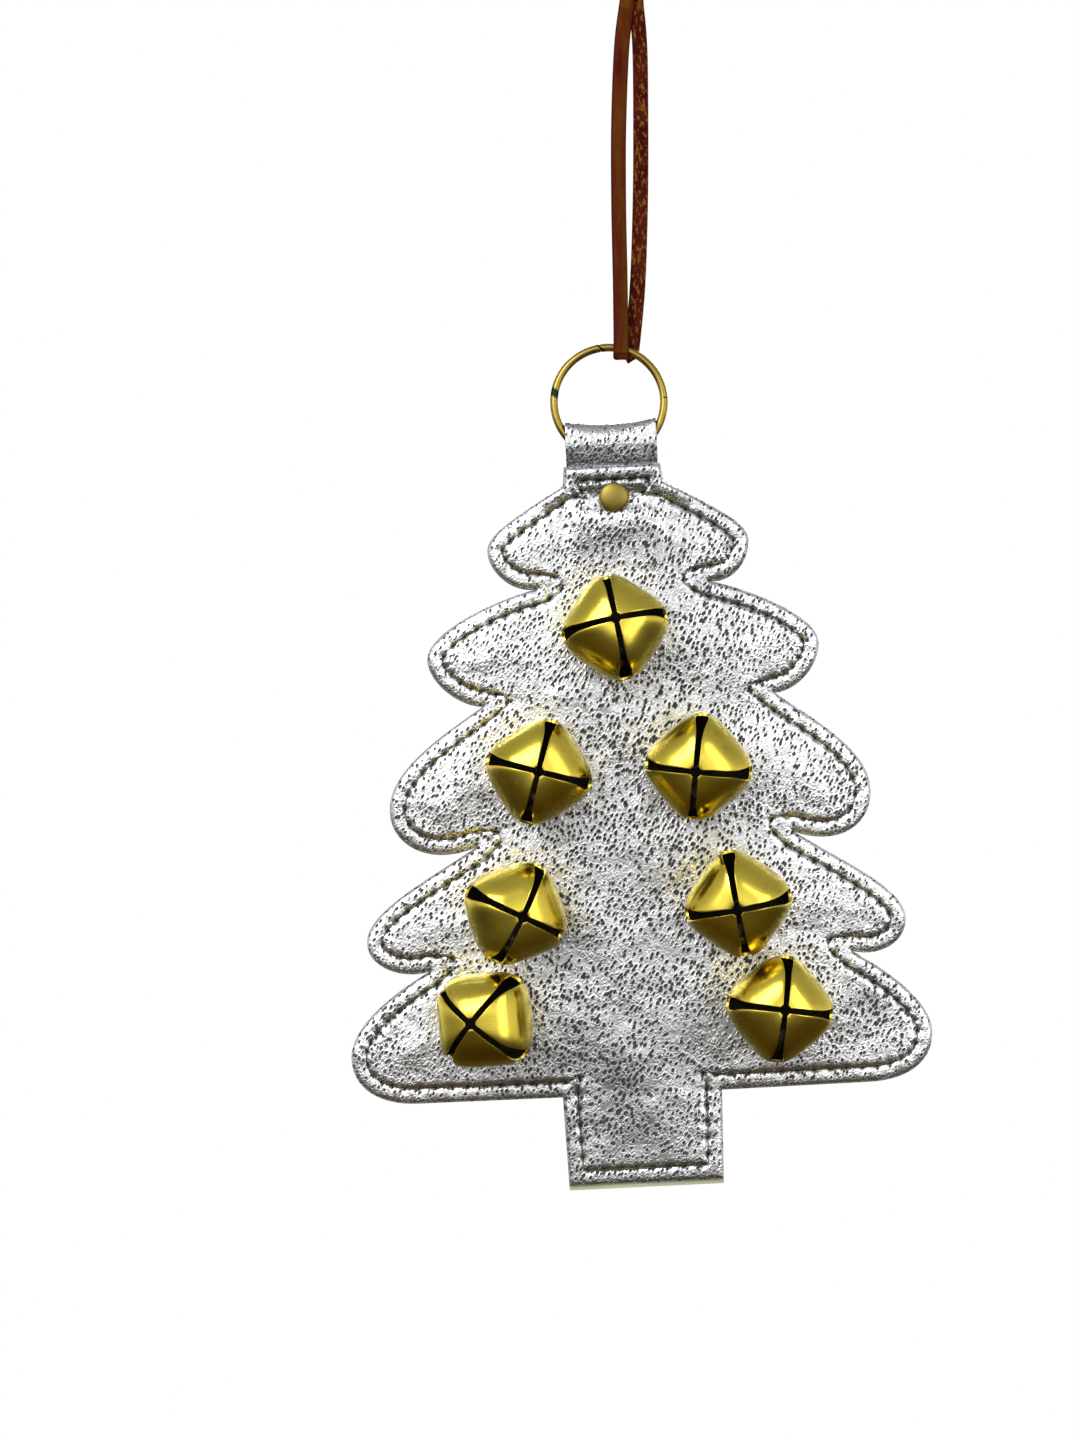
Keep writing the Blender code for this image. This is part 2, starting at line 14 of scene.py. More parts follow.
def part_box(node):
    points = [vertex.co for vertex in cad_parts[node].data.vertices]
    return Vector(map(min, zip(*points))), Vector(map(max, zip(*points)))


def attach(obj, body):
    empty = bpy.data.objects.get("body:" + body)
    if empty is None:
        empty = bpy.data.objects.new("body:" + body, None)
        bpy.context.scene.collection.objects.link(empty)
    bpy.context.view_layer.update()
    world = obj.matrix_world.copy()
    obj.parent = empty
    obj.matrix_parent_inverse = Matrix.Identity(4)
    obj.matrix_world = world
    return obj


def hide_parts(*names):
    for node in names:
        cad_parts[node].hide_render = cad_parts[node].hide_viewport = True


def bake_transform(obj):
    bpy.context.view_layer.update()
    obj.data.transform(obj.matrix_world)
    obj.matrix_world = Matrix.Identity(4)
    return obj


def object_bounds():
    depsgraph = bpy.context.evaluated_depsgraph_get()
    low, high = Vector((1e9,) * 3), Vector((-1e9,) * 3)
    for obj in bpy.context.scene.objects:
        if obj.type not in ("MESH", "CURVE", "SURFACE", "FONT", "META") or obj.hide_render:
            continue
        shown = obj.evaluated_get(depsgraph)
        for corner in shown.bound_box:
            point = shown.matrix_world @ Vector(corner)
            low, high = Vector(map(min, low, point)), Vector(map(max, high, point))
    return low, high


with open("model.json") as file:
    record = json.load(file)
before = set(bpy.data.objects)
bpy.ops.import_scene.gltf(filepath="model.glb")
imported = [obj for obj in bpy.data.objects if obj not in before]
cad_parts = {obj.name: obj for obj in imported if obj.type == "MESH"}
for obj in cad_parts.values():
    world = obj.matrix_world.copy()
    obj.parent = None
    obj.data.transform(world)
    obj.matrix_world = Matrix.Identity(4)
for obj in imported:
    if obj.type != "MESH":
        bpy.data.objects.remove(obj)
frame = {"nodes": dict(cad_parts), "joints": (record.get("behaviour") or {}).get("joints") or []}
CAD_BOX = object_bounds()

MM = 0.001
JOINTS = {joint["name"]: joint for joint in frame["joints"]}


def box_middle(node):
    low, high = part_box(node)
    return (Vector(low) + Vector(high)) / 2


# ---------------------------------------------------------------- where things are
RING_CENTRE = box_middle("ring")
RING_SPAN = (Vector(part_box("ring")[1]) - Vector(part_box("ring")[0])).x
RING_WIRE = 1.0 * MM
RING_RADIUS = RING_SPAN / 2 - RING_WIRE
TREE_TIP = math.radians(4.5)
TREE_X = Vector(JOINTS["tree_swing"]["axis"]).normalized()
TREE_Z = TREE_X.cross(Vector((0.0, 1.0, 0.0)))
SWING_POINT = Vector(JOINTS["tree_swing"]["pos_m"])
SWING_DEPTH = (RING_CENTRE - SWING_POINT).length / MM
UPRIGHT = Matrix((TREE_X, (0.0, 1.0, 0.0), TREE_Z)).transposed().to_4x4()
TREE = (
    Matrix.Translation(SWING_POINT) @ UPRIGHT @ Matrix.Rotation(TREE_TIP, 4, "X")
    @ Matrix.Translation((0.0, 0.0, SWING_DEPTH * MM))
)
LACE_CONTACT = Vector(JOINTS["ring_swing"]["pos_m"])
BELL_ROLLS = [8.9, -16.8, -7.6, -28.4, 7.9, -41.8, -9.3]
BELL_COUNT = len(BELL_ROLLS)

# The view: square to the tree, with the frame's height in its plane, its middle and the distance
VIEW_HEIGHT = 0.360
VIEW_MIDDLE = (-0.023, -0.1880)
VIEW_DISTANCE = 0.90

# The tree's outline, as in the part: half of it, in mm right of the axis and down from the ring
NECK = [(12.1, 15.9), (12.6, 20.5)]
NECK_END = 27.0
NECK_BLEND = 6.0
BOUGHS = [
    [(24.0, 27.7), (32.2, 31.5), (32.2, 36.2), (32.2, 41.2), (26.5, 46.9), (20.3, 46.1)],
    [(30.0, 47.8), (48.5, 55.5), (48.5, 62.6), (48.5, 67.6), (42.0, 74.2), (35.3, 74.8)],
    [(47.0, 82.2), (59.7, 90.0), (59.7, 100.0), (59.7, 108.5), (50.0, 114.2), (38.4, 109.7)],
    [(55.0, 119.4), (66.9, 125.4), (66.9, 132.5), (66.9, 138.8), (58.0, 142.0), (51.6, 140.2)],
    [(64.0, 146.8), (72.2, 154.4), (72.2, 161.0), (72.2, 169.0), (65.0, 173.0), (56.0, 173.0)],
]
TRUNK = [(19.9, 173.2), (19.3, 196.6)]
RIGHT_FULLER = (0.9, 2.6)
CUT_SIDE = 0.9
SEAM_INSET = 3.8
STITCH = 4.26
THREAD_RADIUS = 0.22
LEATHER_HOLE = 2.0
STRAP_HALF_WIDTH = 11.4
STRAP_THICKNESS = 0.7
STRAP_LEG = 0.62
STRAP_JOIN = 16.4
STRAP_TAIL = 42.0
STRAP_FOLD = 4.7
STRAP_SAG = 1.3
STRAP_REACH = 2.0
STRAP_LEAN = 1.1
STRAP_NARROWING = [(0.75, 16.0), (0.98, 15.2), (1.48, 13.0), (1.94, 10.8)]
RIVET_DEPTH = 24.1
RIVET_HOLE = 1.6
RIVET_RADIUS = 3.65

# The lace's two legs in mm, from the knot down, as in the part, and how far they bow to the right
LACE_FRONT = [
    (-0.9, -0.5, -5.6), (-2.4, -0.9, -18.0), (-3.4, -1.3, -38.0), (-3.9, -1.8, -58.0), (-3.8, -2.3, -79.0),
]
LACE_BACK = [
    (1.2, 0.5, -5.6), (2.2, 0.9, -18.0), (2.2, 1.3, -38.0), (1.6, 1.8, -58.0), (0.6, 2.3, -79.0),
]
LACE_BOW = 0.9
LACE_FLATTER = 0.78
LACE_SPREAD = (-1.1, 1.6)
LACE_WIDTH = 3.9
LACE_THICKNESS = 1.3


# ---------------------------------------------------------------- studio
def make_camera():
    data = bpy.data.cameras.new("camera")
    data.sensor_width = 36.0
    data.lens = 36.0 * VIEW_DISTANCE / VIEW_HEIGHT
    camera = bpy.data.objects.new("camera", data)
    around = Matrix.Translation((0.0, 0.0, SWING_POINT.z))
    place = Matrix.Translation((VIEW_MIDDLE[0], -VIEW_DISTANCE, VIEW_MIDDLE[1]))
    level = place @ Matrix.Rotation(math.pi / 2, 4, "X")
    camera.matrix_world = around @ Matrix.Rotation(TREE_TIP, 4, "X") @ around.inverted() @ level
    bpy.context.scene.collection.objects.link(camera)
    bpy.context.scene.camera = camera


def make_light(name, place, target, size, watts, colour=(1.0, 1.0, 1.0)):
    data = bpy.data.lights.new(name, "AREA")
    data.shape = "RECTANGLE"
    data.size, data.size_y = size
    data.energy = watts
    data.color = colour
    light = bpy.data.objects.new(name, data)
    light.location = place
    aim = Vector(target) - Vector(place)
    light.rotation_euler = aim.to_track_quat("-Z", "Y").to_euler()
    light.visible_camera = False
    bpy.context.scene.collection.objects.link(light)


def make_world():
    """White to the eye, and a plain studio in reflections: bright above and left, dark below."""
    world = bpy.data.worlds.new("studio")
    world.use_nodes = True
    bpy.context.scene.world = world
    g = Graph(world.node_tree)
    g.tree.nodes.clear()
    way = g.add("ShaderNodeTexCoord").outputs["Generated"]
    split = g.add("ShaderNodeSeparateXYZ", Vector=way)
    up = g.ramp(g.math("MULTIPLY_ADD", split.outputs["Z"], 0.5, 0.5), WORLD_UP)
    side = g.ramp(g.math("MULTIPLY_ADD", split.outputs["X"], 0.5, 0.5), WORLD_SIDE)
    both = g.mix_colour("MULTIPLY", 1.0, up, side)
    studio = g.add("ShaderNodeBackground", Color=both, Strength=WORLD_STRENGTH)
    plain = g.add("ShaderNodeBackground", Color=(1.0, 1.0, 1.0, 1.0), Strength=1.0)
    eye = g.add("ShaderNodeLightPath").outputs["Is Camera Ray"]
    mixed = g.add("ShaderNodeMixShader")
    g.link(eye, mixed.inputs[0])
    g.link(studio.outputs[0], mixed.inputs[1])
    g.link(plain.outputs[0], mixed.inputs[2])
    out = g.add("ShaderNodeOutputWorld")
    g.link(mixed.outputs[0], out.inputs["Surface"])


# The studio as reflections see it: how bright it is from straight down to straight up, and from
# left to right, both as the sine of the direction mapped to 0..1
WORLD_STRENGTH = 1.0
WORLD_UP = [
    (0.00, (0.045, 0.026, 0.010)),
    (0.15, (0.10, 0.072, 0.034)),
    (0.29, (0.105, 0.092, 0.072)),
    (0.375, (0.20, 0.20, 0.20)),
    (0.415, (0.50, 0.50, 0.50)),
    (0.445, (1.10, 1.10, 1.11)),
    (0.485, (1.50, 1.50, 1.50)),
    (0.60, (1.12, 1.12, 1.12)),
    (0.80, (0.55, 0.56, 0.58)),
    (1.00, (0.34, 0.35, 0.38)),
]
WORLD_SIDE = [
    (0.00, (0.55, 0.55, 0.55)),
    (0.25, (1.05, 1.05, 1.05)),
    (0.50, (1.00, 1.00, 1.00)),
    (0.70, (1.00, 1.00, 1.00)),
    (1.00, (0.65, 0.65, 0.65)),
]


def make_studio():
    make_camera()
    make_world()
    bpy.context.scene.view_settings.view_transform = "Standard"
    middle = (0.0, 0.0, -0.19)
    make_light("key", (-0.55, -1.0, 0.35), middle, (0.7, 0.7), 9.0)
    make_light("fill", (0.75, -0.9, -0.05), middle, (0.5, 0.9), 2.5)
    make_light("back", (0.1, 0.9, 0.3), middle, (0.9, 0.6), 6.0)
    low, _ = CAD_BOX
    points = [(x, y, low.z - 0.6) for x, y in ((-2.2, -2.2), (2.2, -2.2), (2.2, 2.2), (-2.2, 2.2))]
    floor = new_mesh("floor", points, [(0, 1, 2, 3)])
    material, g = new_material("floor_paint")
    spots = g.noise(g.object_place(), 3.0, 2.0)
    g.finish(g.ramp(spots, [(0.3, (0.86, 0.86, 0.86)), (0.7, (0.9, 0.9, 0.9))]), 0.8)
    floor.data.materials.append(material)
    floor.visible_glossy = False


# ---------------------------------------------------------------- node helper
class Graph:
    """A short way to write a node tree: values, sockets and nodes all link in the same way."""

    def __init__(self, tree):
        self.tree = tree
        self.shader = tree.nodes.get("Principled BSDF")

    def link(self, source, socket):
        if isinstance(source, bpy.types.NodeSocket):
            self.tree.links.new(source, socket)
        elif hasattr(socket, "default_value"):
            if isinstance(source, tuple) and len(source) == 3 and socket.type == "RGBA":
                source = (*source, 1.0)
            socket.default_value = source

    def add(self, kind, settings=None, **inputs):
        node = self.tree.nodes.new(kind)
        for name, value in (settings or {}).items():
            setattr(node, name, value)
        for name, value in inputs.items():
            self.link(value, node.inputs[name.replace("_", " ")])
        return node

    def finish(self, colour, roughness, normal=None, metallic=0.0):
        """Sets the shader's own inputs, at the end of a material."""
        inputs = {"Base Color": colour, "Roughness": roughness, "Metallic": metallic}
        if normal is not None:
            inputs["Normal"] = normal
        for name, value in inputs.items():
            self.link(value, self.shader.inputs[name])

    def math(self, operation, *values, clamp=False):
        node = self.add("ShaderNodeMath", {"operation": operation, "use_clamp": clamp})
        for socket, value in zip(node.inputs, values):
            self.link(value, socket)
        return node.outputs[0]

    def mix_colour(self, blend, factor, a, b):
        node = self.add("ShaderNodeMix", {"data_type": "RGBA", "blend_type": blend})
        self.link(factor, node.inputs[0])
        self.link(a, node.inputs[6])
        self.link(b, node.inputs[7])
        return node.outputs[2]

    def ramp(self, factor, stops):
        node = self.add("ShaderNodeValToRGB")
        self.link(factor, node.inputs[0])
        elements = node.color_ramp.elements
        while len(elements) < len(stops):
            elements.new(0.5)
        for element, (place, colour) in zip(elements, stops):
            element.position = place
            element.color = (*colour, 1.0) if isinstance(colour, tuple) else (colour, colour, colour, 1.0)
        return node.outputs[0]

    def span(self, value, low, high, to_low=0.0, to_high=1.0):
        node = self.add("ShaderNodeMapRange", {"interpolation_type": "SMOOTHSTEP"})
        for socket, item in zip(node.inputs, (value, low, high, to_low, to_high)):
            self.link(item, socket)
        return node.outputs[0]

    def object_place(self):
        return self.add("ShaderNodeTexCoord").outputs["Object"]

    def mapped(self, place, rotation=(0.0, 0.0, 0.0), scale=(1.0, 1.0, 1.0)):
        return self.add("ShaderNodeMapping", Vector=place, Rotation=rotation, Scale=scale).outputs[0]

    def turned(self, place, rotation, scale):
        """Coordinates along turned axes, each counted in its own length."""
        settings = {"vector_type": "TEXTURE"}
        node = self.add("ShaderNodeMapping", settings, Vector=place, Rotation=rotation, Scale=scale)
        return node.outputs[0]

    def noise(self, place, scale, detail=2.0, roughness=0.5):
        node = self.add("ShaderNodeTexNoise", Vector=place, Scale=scale, Detail=detail, Roughness=roughness)
        return node.outputs[0]

    def voronoi(self, place, scale, feature="F1", randomness=1.0):
        node = self.add("ShaderNodeTexVoronoi", {"feature": feature}, Vector=place, Scale=scale)
        node.inputs["Randomness"].default_value = randomness
        return node.outputs["Distance"]

    def attribute(self, name):
        return self.add("ShaderNodeAttribute", {"attribute_name": name}).outputs["Fac"]

    def bump(self, height, distance, strength=1.0, under=None):
        node = self.add("ShaderNodeBump", Height=height, Distance=distance, Strength=strength)
        if under is not None:
            self.link(under, node.inputs["Normal"])
        return node.outputs[0]


def new_material(name):
    material = bpy.data.materials.new(name)
    material.use_nodes = True
    return material, Graph(material.node_tree)


# ---------------------------------------------------------------- mesh helpers
def new_mesh(name, points, faces, smooth=True):
    mesh = bpy.data.meshes.new(name)
    mesh.from_pydata([tuple(p) for p in points], [], faces)
    mesh.update()
    if smooth:
        mesh.shade_smooth()
    made = bpy.data.objects.new(name, mesh)
    bpy.context.scene.collection.objects.link(made)
    return made


def piece(made, material, body, slot, *replaced):
    made.data.materials.append(material)
    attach(made, body)
    if replaced:
        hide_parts(*replaced)
    return made


def mark(made, name, values):
    """Gives every vertex of a piece a value that its material reads."""
    marks = made.data.attributes.new(name, "FLOAT", "POINT")
    marks.data.foreach_set("value", np.asarray(values, dtype=np.float32))


def circle(steps):
    return [2 * math.pi * k / steps for k in range(steps)]


def sweep(name, rings, closed=False):
    """A tube through rings of points; its ends are closed with a fan unless it is a loop."""
    sides = len(rings[0])
    points = [p for ring in rings for p in ring]
    faces = []
    count = len(rings)
    for r in range(count if closed else count - 1):
        a, b = r * sides, (r + 1) % count * sides
        for k in range(sides):
            m = (k + 1) % sides
            faces.append((a + k, a + m, b + m, b + k))
    if not closed:
        faces.append(tuple(range(sides - 1, -1, -1)))
        faces.append(tuple(range((count - 1) * sides, count * sides)))
    return new_mesh(name, points, faces)


def rings_along(path, radius, sides, closed=False):
    """Round rings along a path, carried without twist."""
    count = len(path)
    rings = []
    normal = None
    for i, p in enumerate(path):
        ahead = path[(i + 1) % count] if closed or i < count - 1 else p
        behind = path[i - 1] if closed or i > 0 else p
        along = (ahead - behind).normalized()
        if normal is None:
            normal = along.orthogonal().normalized()
        normal = (normal - along * normal.dot(along)).normalized()
        other = along.cross(normal)
        rings.append([p + radius * (normal * math.cos(a) + other * math.sin(a)) for a in circle(sides)])
    return rings


def turned(name, profile, steps, matrix):
    """A closed round piece about its own z axis, from a profile of (radius, z) in mm."""
    return sweep(name, [
        [matrix @ (Vector((radius * math.cos(a), radius * math.sin(a), z)) * MM) for a in circle(steps)]
        for radius, z in profile
    ])


def smooth_path(points, steps):
    """Catmull-Rom points through a list, a few for each stretch."""
    padded = [2 * points[0] - points[1], *points, 2 * points[-1] - points[-2]]
    path = []
    for a, b, c, e in zip(padded, padded[1:], padded[2:], padded[3:]):
        for i in range(steps):
            t = i / steps
            square, cube = 2 * a - 5 * b + 4 * c - e, 3 * b - a - 3 * c + e
            path.append(0.5 * (2 * b + (c - a) * t + square * t * t + cube * t**3))
    return path + [points[-1]]


def ease(value, low, high):
    t = np.clip((value - low) / (high - low), 0.0, 1.0)
    return t * t * (3.0 - 2.0 * t)


def tree_point(x, height, depth, side):
    """World place of a point given in mm in the tree's frame: side is -1 for the front, 1 for the back."""
    return TREE @ (Vector((x, side * height, -depth)) * MM)


# ---------------------------------------------------------------- materials
def silver_leather(name):
    """Silver foil over pebbled leather: rows of short dark pits between long little pebbles, the pits painted
    near-black as shade, with painted shade also in the grain's creases, the seam's groove and holes, and the
    bends.
    """
    material, g = new_material(name)
    place = g.object_place()
    drift = g.add("ShaderNodeTexNoise", Vector=place, Scale=260.0, Detail=2.0).outputs["Color"]
    bent = g.add("ShaderNodeVectorMath", {"operation": "MULTIPLY_ADD"})
    for socket, value in zip(bent.inputs, (drift, (0.0011, 0.0011, 0.0011), place)):
        g.link(value, socket)
    grain = g.turned(bent.outputs[0], (0.0, math.radians(33), 0.0), (0.00098, 0.0016, 0.00168))
    pit = g.voronoi(grain, 1.0, "F1", 0.80)
    shaded_crease = g.voronoi(grain, 1.0, "DISTANCE_TO_EDGE", 0.80)
    patchy = g.noise(place, 700.0, 2.0, 0.6)
    wide = g.noise(place, 30.0, 2.0)
    # Painted shade: the pits grow larger, so the leather darker, towards the lower right and near the middle;
    # random patches vary it.
    slope = g.add("ShaderNodeSeparateXYZ", Vector=place)
    low = g.math("MULTIPLY_ADD", slope.outputs["Z"], -6.0, g.math("MULTIPLY", slope.outputs["X"], 2.0))
    strength = g.math("ADD", g.span(low, 0.70, 1.30, 0.0, 0.085), g.span(wide, 0.30, 0.70, -0.03, 0.05))
    aside = g.math("ABSOLUTE", slope.outputs["X"])
    strength = g.math("ADD", strength, g.span(aside, 0.015, 0.05, 0.03, -0.035))
    # Creases at the neck, past the strap's end and in hollows: painted shade, as darker foil and larger pits.
    crease_shade = g.attribute("shaded_crease")
    strength = g.math("MULTIPLY_ADD", crease_shade, 0.12, strength)
    size = g.math("ADD", g.math("MULTIPLY_ADD", patchy, 0.24, 0.21), strength)
    # The pits are painted near-black and less metallic: painted shade in the pits.
    dark = g.math("SUBTRACT", 1.0, g.span(pit, g.math("MULTIPLY", size, 0.68), size), clamp=True)
    # Dark lines along the grain's cell edges: painted shade in the grain's creases.
    grain_edge_shade = g.math("SUBTRACT", 1.0, g.span(shaded_crease, 0.0, 0.10), clamp=True)
    groove = g.attribute("groove")
    cut = g.attribute("cut")
    foil = g.ramp(g.noise(place, 120.0, 3.0), [(0.3, (0.82, 0.83, 0.84)), (0.7, (0.94, 0.94, 0.94))])
    # The foil is painted darker near the middle, as painted shade.
    middle_shade = g.math("SUBTRACT", 1.0, g.span(aside, 0.012, 0.046), clamp=True)
    foil = g.mix_colour("MULTIPLY", g.math("MULTIPLY", middle_shade, 0.62), foil, (0.66, 0.665, 0.67))
    foil = g.mix_colour("MULTIPLY", g.math("MULTIPLY", crease_shade, 0.55), foil, (0.42, 0.42, 0.43))
    colour = g.mix_colour("MIX", g.math("MULTIPLY", grain_edge_shade, 0.22), foil, (0.25, 0.25, 0.26))
    colour = g.mix_colour("MIX", g.math("MULTIPLY", dark, 0.96), colour, (0.010, 0.010, 0.011))
    # Painted shade: the seam's groove and its stitch holes go near-black.
    colour = g.mix_colour("MIX", g.math("MULTIPLY", groove, 0.97), colour, (0.012, 0.012, 0.010))
    colour = g.mix_colour("MIX", cut, colour, (0.10, 0.10, 0.085))
    metal = g.math("SUBTRACT", 1.0, g.math("MAXIMUM", g.math("MULTIPLY", dark, 0.7), cut), clamp=True)
    roughness = g.math("MULTIPLY_ADD", dark, 0.35, g.span(wide, 0.3, 0.7, 0.30, 0.25))
    rolling = g.bump(g.noise(place, 45.0, 3.0, 0.55), 0.0020, 0.8)
    relief = g.math("SUBTRACT", g.math("MULTIPLY", shaded_crease, 0.9), g.math("MULTIPLY", dark, 0.55))
    fine = g.bump(relief, 0.00028, 0.85, rolling)
    fine = g.bump(g.noise(place, 2400.0, 2.0), 0.00006, 0.5, fine)
    g.finish(colour, roughness, fine, metal)
    return material


def natural_leather(name):
    """Plain tan leather, close-grained, with a soft mottle."""
    material, g = new_material(name)
    place = g.object_place()
    mottle = g.noise(place, 90.0, 4.0, 0.6)
    pores = g.voronoi(place, 1500.0)
    tans = [(0.25, (0.36, 0.30, 0.16)), (0.5, (0.47, 0.42, 0.25)), (0.75, (0.56, 0.51, 0.33))]
    colour = g.ramp(mottle, tans)
    colour = g.mix_colour("MULTIPLY", g.span(pores, 0.35, 0.0, 0.0, 0.35), colour, (0.35, 0.28, 0.16))
    # Painted shade in the seam's groove and holes.
    colour = g.mix_colour("MIX", g.math("MULTIPLY", g.attribute("groove"), 0.85), colour, (0.05, 0.04, 0.02))
    colour = g.mix_colour("MIX", g.attribute("cut"), colour, (0.42, 0.42, 0.28))
    grain = g.bump(g.noise(place, 60.0, 3.0), 0.0008, 0.5)
    grain = g.bump(pores, 0.00010, 0.7, grain)
    g.finish(colour, g.span(mottle, 0.3, 0.7, 0.52, 0.66), grain)
    return material


def brass(name, colour, dull, rough, spots=0.5):
    """Pressed brass: fine rubbed scratches, pale bloom and brown tarnish in patches."""
    material, g = new_material(name)
    place = g.object_place()
    patches = g.noise(place, 170.0, 4.0, 0.62)
    cloud = g.noise(place, 60.0, 2.0)
    hair = g.noise(g.mapped(place, (0.3, 0.9, 0.2), (260.0, 2600.0, 2600.0)), 1.0, 2.0)
    tone = g.ramp(cloud, [(0.30, tuple(0.90 * c for c in colour)), (0.65, colour)])
    tone = g.mix_colour("MIX", g.span(patches, 0.56, 0.78, 0.0, spots), tone, dull)
    tone = g.mix_colour("MIX", g.attribute("stain"), tone, (0.010, 0.026, 0.012))
    bloom = g.span(patches, 0.5, 0.8, 0.0, 0.16)
    roughness = g.math("ADD", g.span(cloud, 0.3, 0.7, rough - 0.05, rough + 0.07), bloom)
    worn = g.bump(patches, 0.00006, 0.5)
    worn = g.bump(hair, 0.000012, 0.6, worn)
    g.finish(tone, roughness, worn, 1.0)
    return material


def tarnish(name):
    """The bells' unpolished insides, nearly black: tarnish, and painted shade inside the bells."""
    material, g = new_material(name)
    stain = g.noise(g.object_place(), 300.0, 3.0)
    colour = g.ramp(stain, [(0.3, (0.006, 0.004, 0.002)), (0.75, (0.035, 0.020, 0.006))])
    g.finish(colour, 0.85, g.bump(stain, 0.00005, 0.6))
    return material


def steel(name):
    material, g = new_material(name)
    place = g.object_place()
    stain = g.noise(place, 700.0, 3.0)
    # Dark colours: painted shade for the bells' wire eyes, pellets and pins, varied by noise.
    colour = g.ramp(stain, [(0.35, (0.055, 0.045, 0.030)), (0.6, (0.17, 0.14, 0.10))])
    g.finish(colour, g.span(stain, 0.3, 0.7, 0.60, 0.46), g.bump(stain, 0.00004, 0.5), 1.0)
    return material


def thread_material(name):
    """Twisted waxed thread, tan going to olive."""
    material, g = new_material(name)
    place = g.object_place()
    settings = {"bands_direction": "DIAGONAL"}
    ply = g.add("ShaderNodeTexWave", settings, Vector=place, Scale=1400.0, Distortion=1.5).outputs["Fac"]
    wear = g.noise(place, 120.0, 3.0)
    colour = g.ramp(wear, [(0.35, (0.030, 0.026, 0.014)), (0.75, (0.17, 0.15, 0.07))])
    colour = g.mix_colour("MULTIPLY", g.span(ply, 0.4, 0.0, 0.0, 0.6), colour, (0.3, 0.28, 0.15))
    g.finish(colour, g.span(wear, 0.3, 0.7, 0.6, 0.75), g.bump(ply, 0.00008, 0.8))
    return material


def lace_material(name):
    """Oiled lace leather: a smooth red-brown grain side, and a rough flesh side with pale fibres."""
    material, g = new_material(name)
    place = g.object_place()
    flesh = g.attribute("flesh")
    edge = g.attribute("edge")
    streak = g.noise(g.mapped(place, scale=(420.0, 420.0, 90.0)), 1.0, 3.0, 0.6)
    fibre = g.noise(g.mapped(place, (0.0, 0.5, 0.0), (1500.0, 1500.0, 560.0)), 1.0, 2.0, 0.7)
    mottle = g.noise(place, 210.0, 3.0, 0.6)
    browns = [(0.30, (0.075, 0.006, 0.001)), (0.50, (0.105, 0.032, 0.001)), (0.66, (0.125, 0.058, 0.002))]
    smooth = g.ramp(streak, browns)
    smooth = g.mix_colour("MIX", edge, smooth, (0.055, 0.001, 0.001))
    rough = g.mix_colour("MIX", g.span(mottle, 0.35, 0.65), (0.036, 0.002, 0.002), (0.065, 0.008, 0.003))
    rough = g.mix_colour("MIX", g.span(fibre, 0.52, 0.66, 0.0, 0.85), rough, (0.25, 0.095, 0.010))
    colour = g.mix_colour("MIX", flesh, smooth, rough)
    roughness = g.math("MULTIPLY_ADD", flesh, 0.33, 0.42)
    relief = g.bump(g.math("MULTIPLY", fibre, flesh), 0.00035, 0.8)
    relief = g.bump(g.noise(place, 1300.0, 2.0), 0.00004, 0.6, relief)
    g.finish(colour, roughness, relief)
    g.link(0.04, g.shader.inputs["Specular IOR Level"])
    return material


def board_material(name):
    material, g = new_material(name)
    place = g.object_place()
    fibres = g.noise(g.mapped(place, scale=(900.0, 300.0, 300.0)), 1.0, 3.0)
    colour = g.ramp(fibres, [(0.3, (0.20, 0.14, 0.08)), (0.7, (0.38, 0.29, 0.18))])
    g.finish(colour, 0.9, g.bump(fibres, 0.0001, 0.7))
    return material


# ---------------------------------------------------------------- the lace and its knot
def lace_rings(path, normals, width, thickness):
    """A flat strap's rings: a rounded rectangle that faces along its normal."""
    corners = []
    for across, out, steps in ((1, 1, 3), (-1, 1, 3), (-1, -1, 3), (1, -1, 3)):
        start = {(1, 1): 0, (-1, 1): 90, (-1, -1): 180, (1, -1): 270}[(across, out)]
        round_off = 0.35 * thickness
        for k in range(steps):
            turn = math.radians(start + 90 * k / (steps - 1))
            corners.append((
                across * (width / 2 - round_off) + round_off * math.cos(turn),
                out * (thickness / 2 - round_off) + round_off * math.sin(turn),
            ))
    rings = []
    for i, (p, normal) in enumerate(zip(path, normals)):
        along = (path[min(i + 1, len(path) - 1)] - path[max(i - 1, 0)]).normalized()
        out = (normal - along * normal.dot(along)).normalized()
        across = along.cross(out)
        rings.append([p + (across * a + out * b) * MM for a, b in corners])
    return rings, corners


def lace_path():
    """The lace from the knot down in front of the ring's wire, under it, and up behind it."""
    legs = [
        [Vector((x + LACE_BOW * float(ease(-z, 20.0, 79.0)), y * LACE_FLATTER, z)) * MM for x, y, z in leg]
        for leg in (LACE_FRONT, LACE_BACK)
    ]
    reach = RING_WIRE + (0.12 + LACE_THICKNESS / 2) * MM
    turn = []
    steps = 12
    for step in range(steps + 1):
        angle = math.pi * step / steps
        shift = float(np.interp(ease(angle, 0.42 * math.pi, math.pi), (0.0, 1.0), LACE_SPREAD)) * MM
        down = Vector((shift, -reach * math.cos(angle), -reach * math.sin(angle)))
        turn.append(LACE_CONTACT + down)
    route = [*legs[0], *turn, *reversed(legs[1])]
    path = smooth_path(route, 8)
    first, last = len(legs[0]) * 8, (len(legs[0]) + steps) * 8
    normals = []
    for i in range(len(path)):
        share = min(1.0, max(0.0, (i - first) / (last - first)))
        angle = math.pi * share
        twist = 0.0
        if i < first:
            twist = 0.42 * math.sin(0.045 * i)
        elif i > last:
            twist = -0.30 * math.sin(0.05 * (i - last))
        normals.append(Vector((math.sin(twist), -math.cos(angle), -math.sin(angle))).normalized())
    return path, normals


